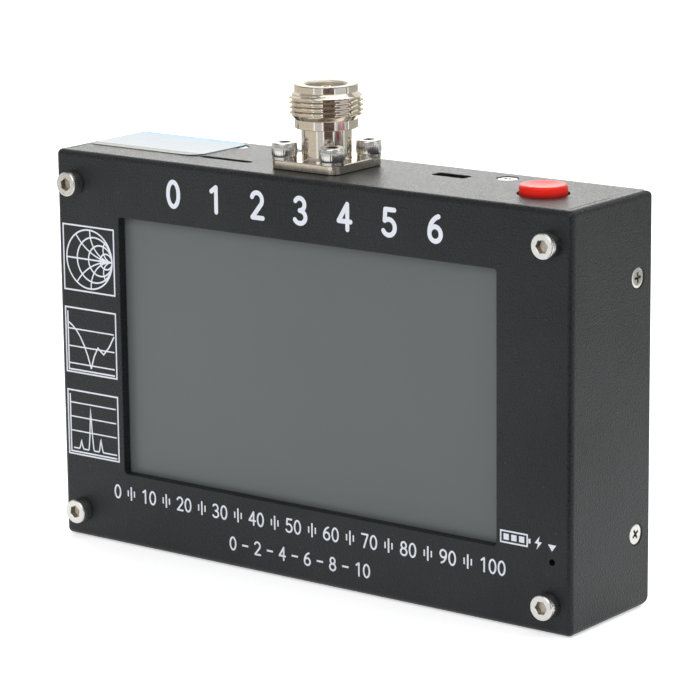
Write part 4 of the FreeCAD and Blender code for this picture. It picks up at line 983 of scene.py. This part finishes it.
foot, tall, dash = 3.85, 3.0, 1.7
bm = bmesh.new()
for x in scale(bm, step=2, count=6, left=-20.5, foot=foot, tall=tall, gap=5.0):
    ribbon(bm, [(x - dash / 2, foot + tall / 2), (x + dash / 2, foot + tall / 2)], pen)
ink_piece("print_short_scale", bm)

# a cell with its charge, a spark, and a pointer down to the lamp's hole
bm = bmesh.new()
ribbon(bm, rectangle(50.9, 57.4, 17.6, 20.0), 0.34, True)
patch(bm, rectangle(57.7, 58.2, 18.3, 19.3))
for x in (51.6, 53.5, 55.4):
    patch(bm, rectangle(x, x + 1.3, 18.15, 19.45))
patch(bm, [(60.4, 20.2), (59.2, 18.6), (60.0, 18.6), (59.7, 17.3), (61.0, 19.0), (60.2, 19.0)])
patch(bm, [(62.45, 18.9), (64.45, 18.9), (63.45, 17.5)])
ink_piece("print_charge_mark", bm)


# ---------------------------------------------------------------- floor, light and camera

def light_path(look, name):
    return look.node("ShaderNodeLightPath").outputs[name]


def staged(name, bm, material):
    """A part of the studio, from a mesh in metres."""
    mesh = bpy.data.meshes.new(name)
    bm.to_mesh(mesh)
    bm.free()
    mesh.materials.append(material)
    item = bpy.data.objects.new(name, mesh)
    bpy.context.scene.collection.objects.link(item)
    return item


def floor_finish():
    """Pale and matt. The camera, mirrors and glass see it white, and it keeps the shadow."""
    look = Finish("floor", level=0.2)
    grain = look.noise(30, 2.0)
    look.colour(look.mixed(grain, (0.90, 0.90, 0.90), (0.92, 0.92, 0.92)))
    look.roughness(look.ranged(grain, 0.3, 0.7, 0.6, 0.7))
    mirrored = look.calculated("MAXIMUM", light_path(look, "Is Glossy Ray"),
                               light_path(look, "Is Transmission Ray"))
    seen = look.calculated("MAXIMUM", light_path(look, "Is Camera Ray"), mirrored)
    look.shader.inputs["Emission Color"].default_value = (1, 1, 1, 1)
    look.tree.links.new(look.calculated("MULTIPLY", seen, 0.50), look.shader.inputs["Emission Strength"])
    return look


# The floor lies a hair under the part.
bm = bmesh.new()
skin(bm, [around(radius, 0, 96) for radius in (2.4, 1.2, 0.6, 0.3, 0.12)], last_cap=(0, 0, 0))
bmesh.ops.recalc_face_normals(bm, faces=bm.faces)
staged("floor", bm, floor_finish().material).location.z = -0.0002


def card(name, first, last, near, far, shade):
    """A part of the studio that only mirror-like surfaces show.

    It lies between two angles in degrees from +X, and two places given as a radius and a height.
    """
    look = bpy.data.materials.new(name)
    look.use_nodes = True
    sockets = look.node_tree.nodes["Principled BSDF"].inputs
    sockets["Base Color"].default_value = (0, 0, 0, 1)
    sockets["Specular IOR Level"].default_value = 0
    sockets["Emission Color"].default_value = (*shade, 1)
    sockets["Emission Strength"].default_value = 1
    bm = bmesh.new()
    steps = 24
    angles = [math.radians(first + (last - first) * k / steps) for k in range(steps + 1)]
    inner, outer = [[bm.verts.new((radius * math.cos(a), radius * math.sin(a), height)) for a in angles]
                    for radius, height in (near, far)]
    for k in range(steps):
        bm.faces.new((inner[k], inner[k + 1], outer[k + 1], outer[k]))
    item = staged(name, bm, look)
    item.visible_camera = False
    item.visible_diffuse = False
    item.visible_transmission = False
    item.visible_shadow = False


on_floor = 0.0008
near_ring, far_ring = (0.45, on_floor), (0.95, on_floor)
card("studio_dark", -64, -23, (0.085, on_floor), far_ring, (0.09, 0.055, 0.045))
card("studio_white", -95, -68, near_ring, far_ring, (0.62, 0.66, 0.69))
card("studio_warm", -225, -99, near_ring, far_ring, (0.69, 0.645, 0.565))
card("studio_cool", -20, 24, near_ring, far_ring, (0.66, 0.69, 0.80))
card("studio_line", 25, 31, near_ring, far_ring, (0.10, 0.09, 0.08))
card("studio_grey", 36, 130, (0.30, on_floor), far_ring, (0.50, 0.51, 0.46))

wall_foot, wall_top = (1.10, 0.03), (1.10, 1.00)
card("studio_wall_right", 66, 115, wall_foot, wall_top, (0.96, 0.94, 0.89))
card("studio_wall_left", 139, 188, wall_foot, wall_top, (0.96, 0.94, 0.89))

# The camera sees the world white, and its light on the part is dimmer.
world = bpy.data.worlds.new("studio")
bpy.context.scene.world = world
world.use_nodes = True
nodes, links = world.node_tree.nodes, world.node_tree.links
sky = nodes["Background"].inputs
sky["Color"].default_value = (1, 1, 1, 1)
path = nodes.new("ShaderNodeLightPath")
strength = nodes.new("ShaderNodeMapRange")
strength.inputs["To Min"].default_value = 0.42
strength.inputs["To Max"].default_value = 1.0
links.new(path.outputs["Is Camera Ray"], strength.inputs["Value"])
links.new(strength.outputs["Result"], sky["Strength"])


def softbox(name, place, target, width, height, radiance, shade=(1.0, 1.0, 1.0)):
    """A plain soft lamp. Its power follows from its size and how bright it looks."""
    lamp = bpy.data.lights.new(name, "AREA")
    lamp.color = shade
    lamp.shape = "RECTANGLE"
    lamp.size = width
    lamp.size_y = height
    lamp.energy = radiance * math.pi * width * height
    item = bpy.data.objects.new(name, lamp)
    item.location = place
    item.rotation_euler = (Vector(target) - Vector(place)).to_track_quat("-Z", "Y").to_euler()
    bpy.context.scene.collection.objects.link(item)


softbox("lamp_back_left", (-0.90, 1.25, 0.60), (0, 0, 0.06), 2.2, 1.15, 2.12, (1.0, 1.0, 0.96))
softbox("lamp_over", (0.35, 0.30, 1.50), (0, 0, 0), 1.5, 1.5, 1.28)
softbox("lamp_front", (0.35, -1.35, 1.00), (0, 0, 0.04), 1.6, 1.0, 2.10)
softbox("lamp_right", (1.45, 0.30, 0.40), (0, 0, 0.04), 0.9, 0.6, 1.10, (0.96, 1.0, 1.03))

# The camera was fitted to the photo. Its angles are degrees round and above the part, and its roll.
azimuth, elevation, roll = (math.radians(v) for v in (37.3337, 12.8784, -0.5938))
lens, camera_place = 173.4415, (0.4273475, -0.5581303, 0.2088443)
backward = Vector((math.sin(azimuth) * math.cos(elevation), -math.cos(azimuth) * math.cos(elevation),
                   math.sin(elevation)))
rightward = Vector((math.cos(azimuth), math.sin(azimuth), 0))
upward = backward.cross(rightward)
tilted_right = rightward * math.cos(roll) + upward * math.sin(roll)
tilted_up = upward * math.cos(roll) - rightward * math.sin(roll)
view = bpy.data.cameras.new("view")
view.sensor_width = 36.0
view.lens = lens
view.clip_start = 0.05
camera = bpy.data.objects.new("camera", view)
aim = Matrix((tilted_right, tilted_up, backward)).transposed().to_4x4()
camera.matrix_world = Matrix.Translation(camera_place) @ aim
bpy.context.scene.collection.objects.link(camera)
bpy.context.scene.camera = camera
bpy.context.scene.view_settings.view_transform = "Standard"
